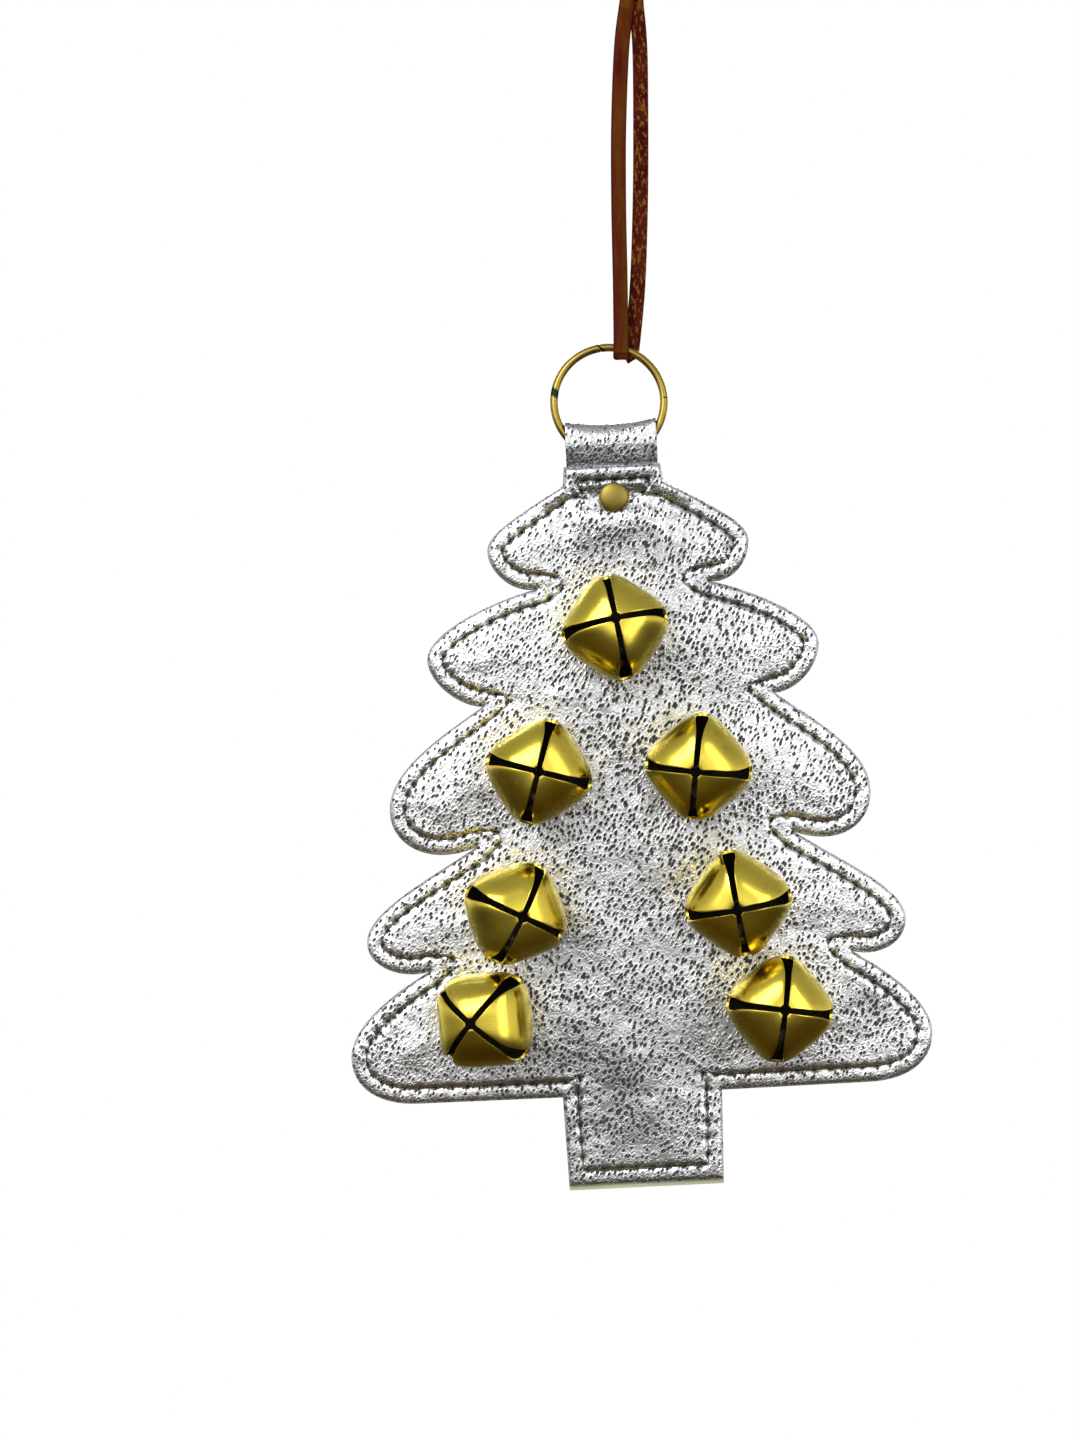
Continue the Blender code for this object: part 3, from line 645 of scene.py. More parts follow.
def strap_mesh(name, path, normals, width, thickness):
    """A flat strap, with its flesh side and its edges marked for the material."""
    rings, corners = lace_rings(path, normals, width, thickness)
    made = sweep(name, rings)
    mark(made, "flesh", [1.0 if b < 0 else 0.0 for _, b in corners] * len(rings))
    mark(made, "edge", [float(ease(abs(a), 0.30 * width, 0.46 * width)) for a, _ in corners] * len(rings))
    return made


def make_lace(look):
    path, normals = lace_path()
    lace = strap_mesh("lace_strap", path, normals, LACE_WIDTH, LACE_THICKNESS)
    piece(lace, look, "lace", "lace_leather", "lace")
    knot = make_knot(look)


def knot_band(lean, turn, radius, width):
    """One turn of the lace round the knot, leaning over to one side."""
    path, normals = [], []
    tip = Matrix.Rotation(turn, 3, "Z") @ Matrix.Rotation(lean, 3, "X")
    for k in range(49):
        angle = 2 * math.pi * k / 48
        out = Vector((math.cos(angle), math.sin(angle), 0.0))
        swell = radius * (1.0 + 0.10 * math.sin(2 * angle))
        path.append(tip @ (out * swell * MM))
        normals.append(tip @ out)
    return lace_rings(path[:-1], normals[:-1], width, 1.4)[0]


def make_knot(look):
    """An overhand knot in the doubled lace: two leaning turns, a core and two short tails."""
    parts = []
    for lean, turn, radius in ((0.45, 0.2, 4.1), (-0.50, 1.3, 3.6)):
        parts.append((knot_band(lean, turn, radius, 3.7), True))
    for x, y, far_x, far_y in ((-0.9, -0.8, -2.6, -1.2), (1.1, 0.8, 2.4, 1.6)):
        route = [(x, y * 0.6, -8.5), (x, y, -4.0), (x, y, 0.0), (x, y, 4.0)]
        route += [(far_x * 0.7, far_y, 8.0), (far_x, far_y, 12.4)]
        path = smooth_path([Vector(p) * MM for p in route], 6)
        normals = [Vector((0.25, -1.0 if y < 0 else 1.0, 0.0)).normalized()] * len(path)
        parts.append((lace_rings(path, normals, 3.6, 1.3)[0], False))
    points, faces = [], []
    for rings, closed in parts:
        made = sweep("knot_part", rings, closed)
        offset = len(points)
        points += [v.co.copy() for v in made.data.vertices]
        faces += [tuple(offset + i for i in polygon.vertices) for polygon in made.data.polygons]
        bpy.data.objects.remove(made, do_unlink=True)
    knot = new_mesh("overhand_knot", points, faces)
    return piece(knot, look, "knot", "lace_leather", "lace_knot")


# ---------------------------------------------------------------- ring, strap and rivet
def make_ring(look):
    """A bent wire ring, butted at its joint, which shows as a fine nick."""
    joint = math.radians(99)
    angles = list(np.linspace(0.0, 2 * math.pi, 480, endpoint=False))
    angles += [joint + k * 0.006 for k in (-3, -2, -1, 0, 1, 2, 3)]
    rings = []
    for angle in sorted(angles):
        nick = 0.16 * math.exp(-(((angle - joint) / 0.008) ** 2))
        wire = RING_WIRE * (1.0 - nick)
        out = Vector((math.cos(angle), 0.0, math.sin(angle)))
        rings.append([
            RING_CENTRE + out * (RING_RADIUS + wire * math.cos(a)) + Vector((0.0, wire * math.sin(a), 0.0))
            for a in circle(20)
        ])
    ring = sweep("wire_ring", rings, closed=True)
    mark(ring, "stain", [ring_stain(vertex.co - RING_CENTRE) for vertex in ring.data.vertices])
    piece(ring, look, "ring", "brass", "ring")


def ring_stain(off):
    """A green stain, and two dark nicks, at degrees round the ring from its right."""
    angle = math.degrees(math.atan2(off.z, off.x))
    slant = (math.hypot(off.x, off.z) - RING_RADIUS) / MM
    return max(
        float(ease(5.5 - abs(angle - 171.0 + 2.0 * slant), 0.0, 2.0)),
        float(ease(1.8 - abs(angle - 99.0 - 4.0 * slant), 0.0, 0.8)),
        float(ease(1.0 - abs(angle - 4.0), 0.0, 0.6)) * float(ease(slant, -0.6, 0.2)),
    )


def strap_line(x):
    """The strap's middle line in (height, depth) mm at one x: up the front, over the fold, down the back."""
    bow = 1.0 - (x / STRAP_HALF_WIDTH) ** 2
    middle = STRAP_FOLD + STRAP_SAG * bow + STRAP_REACH
    quarter = np.linspace(0.0, math.pi / 2, 10)
    arc = [(-STRAP_REACH * math.cos(a), middle - STRAP_REACH * math.sin(a)) for a in quarter]
    leg = [(-STRAP_LEG, d) for d in [*np.linspace(STRAP_TAIL, 17.5, 14), 16.6]]
    leg += [(p.x, p.y) for p in smooth_path([Vector((-h, d, 0.0)) for h, d in STRAP_NARROWING], 3)]
    front = leg + [(h, d + STRAP_LEAN * bow * (h / STRAP_REACH) ** 2) for h, d in arc]
    back = [(-h, d) for h, d in reversed((leg + arc)[:-1])]
    return [untipped(h, d) for h, d in front + back]


def untipped(height, depth):
    """Turns the strap's loop back about the swing line, so that it stays true to the ring."""
    share = min(1.0, max(0.0, (STRAP_JOIN - depth) / (STRAP_JOIN - SWING_DEPTH)))
    cos, sin = math.cos(TREE_TIP * share), math.sin(TREE_TIP * share)
    low = depth - SWING_DEPTH
    return height * cos - low * sin, SWING_DEPTH + low * cos + height * sin


def make_strap(look):
    """The neck strap: a folded band of the same leather with rounded edges."""
    places = np.linspace(-STRAP_HALF_WIDTH, STRAP_HALF_WIDTH, 47)
    rows = len(strap_line(0.0))
    points, depths = [], []
    for x in places:
        for height, depth in strap_line(x):
            ripple = 0.10 * noise.noise(Vector((x / 5.0, depth / 4.0, 2.0)))
            ripple *= float(ease(17.0 - depth, 0.0, 3.0))
            points.append(tree_point(x, height + math.copysign(ripple, height), depth, 1))
            depths.append(depth)
    faces = [
        (c * rows + r, c * rows + r + 1, (c + 1) * rows + r + 1, (c + 1) * rows + r)
        for c in range(len(places) - 1)
        for r in range(rows - 1)
    ]
    strap = new_mesh("folded_strap", points, faces)
    depths = np.array(depths)
    # The strap's bend is painted darker as shade, through the same mask as the front's creases.
    mark(strap, "shaded_crease", ease(depths, 9.8, 11.6) * (1.0 - ease(depths, 15.4, STRAP_JOIN)))
    skin = strap.modifiers.new("thickness", "SOLIDIFY")
    skin.thickness = STRAP_THICKNESS * MM
    skin.offset = 0.0
    edge = strap.modifiers.new("edge", "BEVEL")
    edge.width = 0.18 * MM
    edge.segments = 2
    edge.limit_method = "ANGLE"
    strap.data.materials.append(look)
    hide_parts("hanging_strap")
    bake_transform(strap)


# Soft hollows where the leather has creases, painted darker as shade: x and depth of the middle, size and
# strength
SHADED_HOLLOWS = [(58.0, 154.0, 7.0, 1.0), (-6.0, 169.0, 7.5, 0.7), (13.0, 38.0, 5.0, 0.8), (40.0, 148.0, 6.0, 0.4)]


def hollow(x, d, middle_x, middle_d, size):
    return np.exp(-((np.hypot(x - middle_x, d - middle_d) / size) ** 2))


def crease_shade_marks(x, d):
    """How much painted shade the leather's creases get, 0 to 1: at the neck, past the strap's end, and in a
    few hollows.
    """
    across = ease(STRAP_HALF_WIDTH + 0.5 - np.abs(x), 0.0, 2.5)
    marks = across * ease(d, 17.0, 18.4) * (1.0 - ease(d, 21.0, 24.0))
    marks += 0.75 * across * ease(d, 29.0, 33.0) * (1.0 - ease(d, 37.0, 42.0))
    for middle_x, middle_d, size, strength in SHADED_HOLLOWS:
        marks += strength * hollow(x, d, middle_x, middle_d, size)
    return np.clip(marks, 0.0, 1.0)


def make_rivet(look):
    place = TREE @ Matrix.Translation((0.0, 0.0, -RIVET_DEPTH * MM)) @ Matrix.Rotation(math.pi / 2, 4, "X")
    dome = [(RIVET_RADIUS * math.cos(a), 3.15 + 0.95 * math.sin(a)) for a in np.linspace(0.0, 1.52, 14)]
    cap = [(0.02, 2.78), (3.2, 2.78), (3.5, 2.84), (3.63, 2.98), *dome, (0.02, 4.1)]
    piece(turned("rivet_dome", cap, 64, place), look, "tree", "rivet_brass", "rivet_cap")
    foot = [(3.55 * math.cos(a), -3.05 - 0.55 * math.sin(a)) for a in np.linspace(0.0, 1.5, 10)]
    post = [(0.02, -3.62), *reversed(foot), (3.5, -2.86), (3.2, -2.8), (1.3, -2.78)]
    post += [(1.3, 2.6), (1.2, 2.72), (0.02, 2.74)]
    piece(turned("rivet_tail", post, 64, place), look, "tree", "rivet_brass", "rivet_post")


# ---------------------------------------------------------------- the leather tree
def bezier(p0, p1, p2, p3, steps):
    for i in range(1, steps + 1):
        t = i / steps
        s = 1.0 - t
        yield tuple(
            s**3 * a + 3 * s * s * t * b + 3 * s * t * t * c + t**3 * e
            for a, b, c, e in zip(p0, p1, p2, p3)
        )


def half_outline(steps, foot, fuller):
    """One side of the outline in mm, its boughs and notches set outward by so much."""
    half = list(NECK)
    for bough in BOUGHS:
        wide = [(x + fuller[0], d) for x, d in bough]
        if bough is not BOUGHS[-1]:
            wide[4:] = [(x + fuller[1], d) for x, d in bough[4:]]
        h1, h2, tip, h3, h4, notch = wide
        half += bezier(half[-1], h1, h2, tip, steps)
        half += bezier(tip, h3, h4, notch, steps)
    return half + [TRUNK[0], (TRUNK[1][0], foot)]


def tree_outline(steps, foot):
    """The closed outline, a hand-cut shape: its right side is a little fuller than its left."""
    right = half_outline(steps, foot, RIGHT_FULLER)
    left = half_outline(steps, foot, (0.0, 0.0))
    return np.array(right + [(-x, d) for x, d in reversed(left)])


def edge_distance(points, edge):
    """Distance of many points to a closed outline."""
    a, b = edge, np.roll(edge, -1, axis=0)
    along = b - a
    size = (along * along).sum(1)
    best = np.full(len(points), 1e9)
    for start in range(0, len(points), 2000):
        p = points[start : start + 2000, None, :]
        t = np.clip(((p - a) * along).sum(2) / size, 0.0, 1.0)
        gap = np.linalg.norm(p - a - along * t[..., None], axis=2)
        best[start : start + 2000] = gap.min(1)
    return best


def inside(points, edge):
    """Which points lie inside a closed outline, by counting crossings."""
    a, b = edge, np.roll(edge, -1, axis=0)
    x, y = points[:, 0, None], points[:, 1, None]
    spans = (a[:, 1] > y) != (b[:, 1] > y)
    rise = np.where(np.abs(b[:, 1] - a[:, 1]) < 1e-12, 1e-12, b[:, 1] - a[:, 1])
    cross = a[:, 0] + (y - a[:, 1]) / rise * (b[:, 0] - a[:, 0])
    return (spans & (x < cross)).sum(1) % 2 == 1


def inset_path(edge, inset, spacing):
    """The outline moved inward, round every notch, with even points."""
    path = []
    for a, b, c in zip(edge, np.roll(edge, -1, axis=0), np.roll(edge, -2, axis=0)):
        along, after = (b - a) / np.linalg.norm(b - a), (c - b) / np.linalg.norm(c - b)
        inward = np.array([-along[1], along[0]]) * inset
        count = 1 + int(np.linalg.norm(b - a) / 0.5)
        path += [a + (b - a) * i / count + inward for i in range(count + 1)]
        bend = math.atan2(along[0] * after[1] - along[1] * after[0], along @ after)
        for i in range(1, int(-bend / 0.2)):
            cos, sin = math.cos(-0.2 * i), math.sin(-0.2 * i)
            point = 1.0 + 0.75 * math.sin(math.pi * 0.2 * i / -bend) ** 6
            turned_in = np.array([inward[0] * cos - inward[1] * sin, inward[0] * sin + inward[1] * cos])
            path.append(b + point * turned_in)
    path = np.array(path)
    return resample(path[edge_distance(path, edge) > 0.99 * inset], spacing)


def resample(path, spacing):
    closed = np.vstack([path, path[:1]])
    run = np.concatenate([[0.0], np.cumsum(np.linalg.norm(np.diff(closed, axis=0), axis=1))])
    count = int(round(run[-1] / spacing))
    places = np.linspace(0.0, run[-1], count, endpoint=False)
    return np.stack([np.interp(places, run, closed[:, k]) for k in range(2)], axis=1)


def bell_pivots():
    """Where each bell's shank goes through the leather, in mm in the tree's frame."""
    found = []
    for number in range(1, BELL_COUNT + 1):
        p = TREE.inverted() @ Vector(JOINTS[f"bell_{number}_tilt"]["pos_m"])
        found.append((p.x / MM, -p.z / MM))
    return found


class Sheet:
    """The tree's flat plan, cut into small triangles: dense at the seam and the edge."""

    def __init__(self, foot, bells):
        self.edge = resample_sides(tree_outline(14, foot), CUT_SIDE)
        self.holes = [(x, d, LEATHER_HOLE) for x, d in bells] + [(0.0, RIVET_DEPTH, RIVET_HOLE)]
        seam = inset_path(self.edge, SEAM_INSET, 0.2)
        stitches = round(len(seam) * 0.2 / STITCH)
        self.seam = resample(seam, len(seam) * 0.2 / (stitches * 24))
        self.stitches = stitches
        self.build()

    def build(self):
        points = [self.edge]
        for inset, spacing in SHEET_LOOPS:
            points.append(inset_path(self.edge, inset, spacing))
        low, high = self.edge.min(0), self.edge.max(0)
        pitch = 1.15
        rows = np.arange(low[1], high[1], pitch * 0.866)
        columns = np.arange(low[0], high[0], pitch)
        grid = np.array([(x + (pitch / 2 if k % 2 else 0.0), d) for k, d in enumerate(rows) for x in columns])
        grid = grid[inside(grid, self.edge)]
        grid = grid[edge_distance(grid, self.edge) > SHEET_LOOPS[-1][0] + 0.6]
        rims = [hole_rim(*hole) for hole in self.holes]
        for x, d, radius in self.holes:
            grid = grid[np.linalg.norm(grid - (x, d), axis=1) > radius + 0.5]
        points.append(grid)
        loose = np.vstack(points[1:])
        for x, d, radius in self.holes:
            loose = loose[np.linalg.norm(loose - (x, d), axis=1) > radius + 0.25]
        everything = [Vector(p) for p in np.vstack([self.edge, *rims, loose])]
        links, start = [], 0
        for loop in [self.edge, *rims]:
            links += [(start + i, start + (i + 1) % len(loop)) for i in range(len(loop))]
            start += len(loop)
        made = geometry.delaunay_2d_cdt(everything, links, [], 0, 1e-5)
        self.points = np.array([tuple(p) for p in made[0]])
        faces = np.array([f for f in made[2] if len(f) == 3])
        middles = self.points[faces].mean(1)
        keep = inside(middles, self.edge)
        for x, d, radius in self.holes:
            keep &= np.linalg.norm(middles - (x, d), axis=1) > radius
        self.faces = faces[keep]
        self.gap = edge_distance(self.points, self.edge)
        self.measure_seam()

    def measure_seam(self):
        tree = kdtree.KDTree(len(self.seam))
        for i, p in enumerate(self.seam):
            tree.insert((*p, 0.0), i)
        tree.balance()
        near = [tree.find((*p, 0.0)) for p in self.points]
        self.phase = np.array([n[1] for n in near]) * self.stitches / len(self.seam)
        self.hole = 0.5 + 0.5 * np.cos(2 * math.pi * self.phase)
        self.off_seam = np.array([n[2] for n in near])


SHEET_LOOPS = [
    (0.25, 0.8), (0.6, 0.8), (1.1, 0.8), (1.8, 0.8), (2.5, 0.7), (3.05, 0.6), (3.45, 0.53), (3.8, 0.53),
    (4.15, 0.53), (4.55, 0.6), (5.1, 0.7), (5.9, 0.85), (6.9, 1.0),
]


def hole_rim(x, d, radius):
    turn = np.linspace(0.0, 2 * math.pi, 18, endpoint=False)
    return np.stack([x + radius * np.cos(turn), d + radius * np.sin(turn)], axis=1)


def resample_sides(outline, longest):
    """The outline with its long straight sides cut up, and its corners kept."""
    points = []
    for a, b in zip(outline, np.roll(outline, -1, axis=0)):
        count = max(1, math.ceil(np.linalg.norm(b - a) / longest))
        points += [a + (b - a) * i / count for i in range(count)]
    return np.array(points)


def rolling_noise(points, size, seed):
    return np.array([noise.noise(Vector((x / size, d / size, seed))) for x, d in points])


def plateau(sheet, rise=4.6):
    return ease(sheet.gap - SEAM_INSET, 0.15, rise)


def rounded(gap, width):
    """A quarter circle's rise from the sheet's edge, 0 to 1."""
    return np.sqrt(1.0 - (1.0 - np.clip(gap / width, 0.0, 1.0)) ** 2)


def neck_share(d):
    return ease(NECK_END - d, 0.0, NECK_BLEND)


def front_height(sheet):
    """Height of the front leather in mm: a crowned border, a sunk seam, and a puffed middle."""
    p, gap, hole = sheet.points, sheet.gap, sheet.hole
    x, d = p[:, 0], p[:, 1]
    height = 0.5 + 1.15 * rounded(gap, 1.7)
    middle = plateau(sheet)
    height += 0.32 * plateau(sheet, 1.5) + 0.55 * ease(gap - SEAM_INSET, 1.0, 16.0)
    height -= (0.24 + 0.62 * hole**3) * np.exp(-((sheet.off_seam / (0.30 + 0.14 * hole)) ** 2))
    pucker = np.exp(-(((sheet.off_seam - 1.15) / 0.75) ** 2))
    height += 0.13 * pucker * (0.5 - hole)
    lumps = 0.10 * rolling_noise(p, 11.0, 3.7) + 0.045 * rolling_noise(p, 4.5, 9.1)
    height += lumps * (0.35 + 0.65 * middle)
    band = ease(STRAP_HALF_WIDTH + 0.4 - np.abs(x), 0.0, 1.6) * ease(STRAP_TAIL + 0.5 - d, 0.0, 2.0)
    height += 0.16 * band * middle
    border = ease(gap, 0.0, 0.8)
    height += neck_share(d) * (1.10 * (1.0 - middle) * border + 0.35 * (1.0 - border))
    across = ease(STRAP_HALF_WIDTH + 1.0 - np.abs(x), 0.0, 3.0)
    height -= across * (0.45 * ease(d, 16.6, 22.4) - 1.15 * ease(d, 24.6, 29.0) + 0.70 * ease(d, 29.0, 37.0))
    dip = ease(d, 149.0, 157.0) * (1.0 - ease(d, 158.0, 168.0))
    height -= 0.45 * dip * np.exp(-(((x - 56.0) / 8.0) ** 2))
    height -= 0.35 * ease(d, 163.0, 174.0) * np.exp(-(((x + 6.0) / 9.0) ** 2))
    height -= 0.30 * hollow(x, d, 0.0, RIVET_DEPTH, 4.6)
    for bell_x, bell_d in bell_pivots():
        height -= 0.30 * hollow(x, d, bell_x, bell_d, 5.0)
    return height


def back_height(sheet):
    """Height of the back leather in mm: the same sandwich, pressed flatter."""
    d, field = sheet.points[:, 1], plateau(sheet, 5.5)
    height = 0.75 + 0.85 * rounded(sheet.gap, 1.2) + 1.50 * field * ease(d, 24.0, 32.0)
    height -= (0.22 + 0.35 * sheet.hole**3) * np.exp(-((sheet.off_seam / 0.45) ** 2))
    height += 0.05 * rolling_noise(sheet.points, 14.0, 21.3) * plateau(sheet)
    return height + 0.55 * neck_share(d) * (1.0 - field)


def leather_solid(name, sheet, height, under, side):
    """A closed sheet of leather from its upper heights and its lower ones."""
    count = len(sheet.points)
    top = [tree_point(x, h, d, side) for (x, d), h in zip(sheet.points, height)]
    low = [tree_point(x, h, d, side) for (x, d), h in zip(sheet.points, under)]
    faces = [tuple(f) for f in sheet.faces.tolist()]
    seen = {}
    for a, b, c in faces:
        for edge in ((a, b), (b, c), (c, a)):
            seen[edge] = True
    rim = [edge for edge in seen if (edge[1], edge[0]) not in seen]
    shell = [f if side < 0 else f[::-1] for f in faces]
    shell += [tuple(i + count for i in (f[::-1] if side < 0 else f)) for f in faces]
    for a, b in rim:
        quad = (b, a, a + count, b + count)
        shell.append(quad if side < 0 else quad[::-1])
    made = new_mesh(name, top + low, shell)
    made.data.set_sharp_from_angle(angle=math.radians(55))
    return made


def mark_sheet(made, sheet, depth, cut_width):
    """Marks the painted shade of the seam's groove and holes and of the creases, and the raw cut edge, for
    the material.
    """
    line = np.exp(-((sheet.off_seam / 0.26) ** 2)) * depth
    spot = np.exp(-((sheet.off_seam / 0.52) ** 2)) * sheet.hole**3
    groove = np.clip(line + spot, 0.0, 1.0)
    cut = np.clip(1.0 - sheet.gap / cut_width, 0.0, 1.0)
    crease_shade = crease_shade_marks(*sheet.points.T)
    for name, top, low in (("groove", groove, 0.0), ("cut", cut, 1.0), ("shaded_crease", crease_shade, 0.0)):
        mark(made, name, np.concatenate([top, np.full(len(top), low)]))


def inner_side(sheet, height, rise, thinnest):
    """The leather's inner heights: down at the seam, and clear of the board and the strap."""
    clear = np.maximum(0.10 + 1.40 * plateau(sheet, rise), 1.06 * neck_share(sheet.points[:, 1]))
    return np.minimum(clear, height - thinnest)


def make_leathers(silver, natural):
    front = Sheet(foot=TRUNK[1][1] - 1.1, bells=bell_pivots())
    height = front_height(front)
    made = leather_solid("front_leather", front, height, inner_side(front, height, 4.6, 0.25), -1)
    mark_sheet(made, front, 0.80, 0.30)
    piece(made, silver, "tree", "silver_leather", "front_panel")
    back = Sheet(foot=TRUNK[1][1], bells=[])
    height = back_height(back)
    made = leather_solid("back_leather", back, height, inner_side(back, height, 5.5, 0.3), 1)
    mark_sheet(made, back, 0.35, 0.35)
    piece(made, natural, "tree", "natural_leather", "back_panel")
    return front, back


def make_thread(name, sheet, look, side, top, dip, node):
    """One thread of the seam: it lies along the groove and dives into every hole."""
    rings = 12 * sheet.stitches
    path = []
    closed = np.vstack([sheet.seam, sheet.seam[:1]])
    for i in range(rings):
        place = i / rings * len(sheet.seam)
        k, t = int(place), place - int(place)
        x, d = closed[k] * (1 - t) + closed[k + 1] * t
        hole = 0.5 + 0.5 * math.cos(2 * math.pi * place * sheet.stitches / len(sheet.seam))
        neck = 0.62 * float(neck_share(d))
        path.append(tree_point(x, top + neck - (dip + neck * 0.4) * hole**4, d, side))
    thread = sweep(name, rings_along(path, THREAD_RADIUS * MM, 7, closed=True), closed=True)
    piece(thread, look, "tree", "thread", node)


# ---------------------------------------------------------------- bells
BELL_FLAT = 11.6
BELL_FRONT = 11.6
BELL_BACK = 11.3
BELL_WALL = 0.7
BELL_HOLE = 1.45
BELL_REACH = 14.7
EYE_RADIUS = 1.30
SHANK_WIRE = 0.36
PELLET_RADIUS = 3.2


def bell_frame(number):
    """The bell's own axes: x along its pin, z out of its front, with its middle at the origin."""
    pin = Vector(JOINTS[f"bell_{number}_tilt"]["axis"]).normalized()
    facing = Vector(JOINTS[f"bell_{number}_spin"]["axis"]).normalized()
    side = facing.cross(pin)
    turn = Matrix((pin, side, facing)).transposed().to_4x4()
    return Matrix.Translation(Vector(JOINTS[f"bell_{number}_spin"]["pos_m"])) @ turn


def slot_half_width(share):
    """Half of a slot's width from the bell's front pole, 0, to the slot's end, 1."""
    return 0.76 + 0.08 * share + 0.95 * float(ease(share, 0.22, 0.74)) ** 1.5


def shell_size(height):
    limit = BELL_FRONT if height >= 0 else BELL_BACK
    return BELL_FLAT * max(0.0, 1.0 - abs(height / limit) ** 2.15) ** (1 / 2.15)


def shell_radius(size, squareness, angle):
    c, s = abs(math.cos(angle)), abs(math.sin(angle))
    return size * (c**squareness + s**squareness) ** (-1.0 / squareness)


def shell_mesh(name, number):
    """Four petals bent forward from a round back, slotted along their corners, each a little its own."""
    columns, front_rows, back_rows = 18, 30, 22
    end = math.radians(-5)
    tip = math.radians(84.6)
    points, faces, index = [], [], {}

    def point(key, radius, angle, height):
        if key not in index:
            index[key] = len(points)
            points.append((radius * math.cos(angle), radius * math.sin(angle), height))
        return index[key]

    for petal in range(4):
        middle = petal * math.pi / 2
        lean = 0.10 * noise.noise(Vector((number * 3.1, petal * 2.3, 0.5)))
        rows = []
        for row in range(front_rows + 1):
            share = row / front_rows
            lift = tip + (end - tip) * share
            height = BELL_FRONT * math.sin(lift)
            size = shell_size(height)
            square = 3.3 + 1.6 * (1.0 - share)
            corner = shell_radius(size, square, math.pi / 4)
            narrow = slot_half_width(share)
            if row == front_rows:
                narrow *= 0.6
            span = math.pi / 4 - math.asin(min(0.68, narrow / corner))
            line = []
            for column in range(columns + 1):
                angle = span * (2 * column / columns - 1)
                radius = shell_radius(size, square, angle)
                dip = lean * (1.0 - share) ** 2
                line.append(point(("f", petal, row, column), radius, middle + angle, height + dip))
            rows.append(line)
        for row in range(back_rows + 1):
            lift = end - math.radians(2.6) + (math.radians(-82.5) - end) * row / back_rows
            height = BELL_BACK * math.sin(lift)
            size = shell_size(height)
            square = 3.3 - 1.3 * (row / back_rows)
            line = []
            for column in range(columns + 1):
                angle = math.pi / 4 * (2 * column / columns - 1)
                radius = shell_radius(size, square, angle) if row < back_rows else BELL_HOLE
                key = ("b", row, (petal * columns + column) % (4 * columns))
                line.append(point(key, radius, middle + angle, height))
            rows.append(line)
        for low, high in zip(rows, rows[1:]):
            for a, b, c, e in zip(low, low[1:], high[1:], high):
                faces.append((a, e, c, b))
    frame_here = bell_frame(number)
    level = frame_here.to_3x3().inverted() @ TREE_X
    roll = math.atan2(level.y, level.x) + math.radians(BELL_ROLLS[number - 1] + 45.0)
    matrix = frame_here @ Matrix.Rotation(roll, 4, "Z")
    return new_mesh(name, [matrix @ (Vector(p) * MM) for p in points], faces)


def make_shell(number, look, inside_look):
    shell = shell_mesh(f"bell_{number}_petals", number)
    shell.data.materials.append(look)
    shell.data.materials.append(inside_look)
    wall = shell.modifiers.new("wall", "SOLIDIFY")
    wall.thickness = BELL_WALL * MM
    wall.offset = -1.0
    wall.use_even_offset = True
    # The inner faces take the second material, painted nearly black as shade.
    wall.material_offset = 1
    rim = shell.modifiers.new("rim", "BEVEL")
    rim.width = 0.14 * MM
    rim.segments = 2
    rim.limit_method = "ANGLE"
    rim.angle_limit = math.radians(50)
    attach(shell, f"bell_{number}")
    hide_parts(f"bell_{number}_shell")


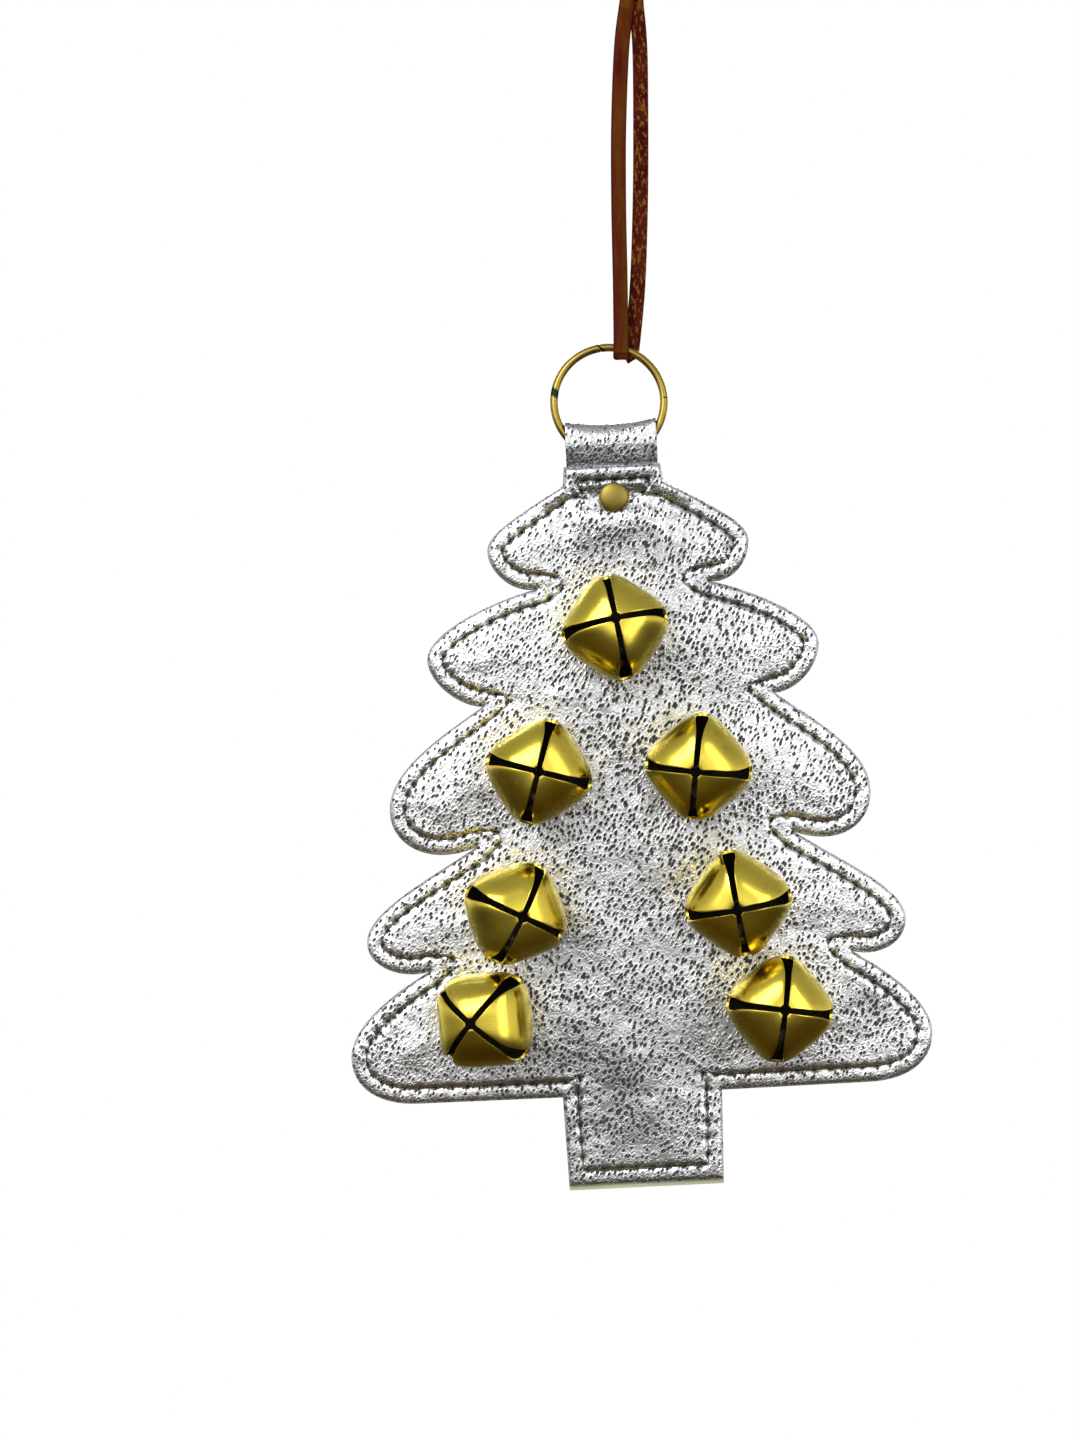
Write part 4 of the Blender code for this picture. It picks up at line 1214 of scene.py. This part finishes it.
def make_shank(number, look):
    """One bent wire: a leg splayed inside the bell, round the pin, and back up to the other leg."""
    turn = bell_frame(number) @ Matrix.Translation((0.0, 0.0, -BELL_REACH * MM))
    top = BELL_REACH - BELL_BACK + BELL_WALL + 0.75
    turns = np.linspace(math.radians(-250), math.radians(70), 15)
    loop = [(EYE_RADIUS * math.cos(a), EYE_RADIUS * math.sin(a)) for a in turns]
    left = [(-2.35, top + 0.35), (-1.2, top + 0.15), (-0.55, top - 0.45), (-0.42, 2.4)]
    right = [(-y, z) for y, z in reversed(left)]
    route = [Vector((0.0, y, z)) * MM for y, z in [*left, *reversed_loop(loop), *right]]
    path = smooth_path(route, 4)
    rings = [[turn @ p for p in ring] for ring in rings_along(path, SHANK_WIRE * MM, 10)]
    shank = sweep(f"bell_{number}_eye", rings)
    piece(shank, look, f"shank_{number}", "steel", f"bell_{number}_shank")


def reversed_loop(loop):
    """The eye's loop, run from the left leg round the pin to the right leg."""
    return [(y, z) for y, z in loop] if loop[0][0] < 0 else [(y, z) for y, z in reversed(loop)]


def make_pellet(number, look):
    centre = box_middle(f"bell_{number}_pellet")
    lifts = np.linspace(-1.5, 1.5, 17)
    profile = [(PELLET_RADIUS * math.cos(lift), PELLET_RADIUS * math.sin(lift)) for lift in lifts]
    pellet = turned(f"bell_{number}_ball", profile, 28, Matrix.Translation(centre))
    piece(pellet, look, f"pellet_{number}", "steel", f"bell_{number}_pellet")


# ---------------------------------------------------------------- everything
def carried_over(node, look):
    made = frame["nodes"][node]
    made.data.materials.clear()
    made.data.materials.append(look)


def main():
    make_studio()
    lace_look = lace_material("lace_leather_look")
    make_lace(lace_look)
    silver = silver_leather("silver_leather_look")
    shell_brass = brass("bell_brass_look", (0.76, 0.60, 0.075), (0.26, 0.12, 0.012), 0.20)
    dull_brass = brass("rivet_brass_look", (0.28, 0.22, 0.05), (0.12, 0.08, 0.02), 0.38)
    ring_brass = brass("ring_brass_look", (0.34, 0.245, 0.052), (0.06, 0.05, 0.015), 0.30, 0.8)
    tarnish_and_shade_look = tarnish("bell_inside_shade_look")
    shaded_steel = steel("shaded_steel_look")
    thread = thread_material("thread_look")
    make_ring(ring_brass)
    make_strap(silver)
    front, back = make_leathers(silver, natural_leather("natural_leather_look"))
    make_thread("front_thread", front, thread, -1, 1.28, 0.75, "front_stitching")
    make_thread("back_thread", back, thread, 1, 1.42, 0.55, "back_stitching")
    make_rivet(dull_brass)
    carried_over("core_board", board_material("board_look"))
    for number in range(1, BELL_COUNT + 1):
        make_shell(number, shell_brass, tarnish_and_shade_look)
        make_shank(number, shaded_steel)
        make_pellet(number, shaded_steel)
        carried_over(f"bell_{number}_pin", shaded_steel)


main()
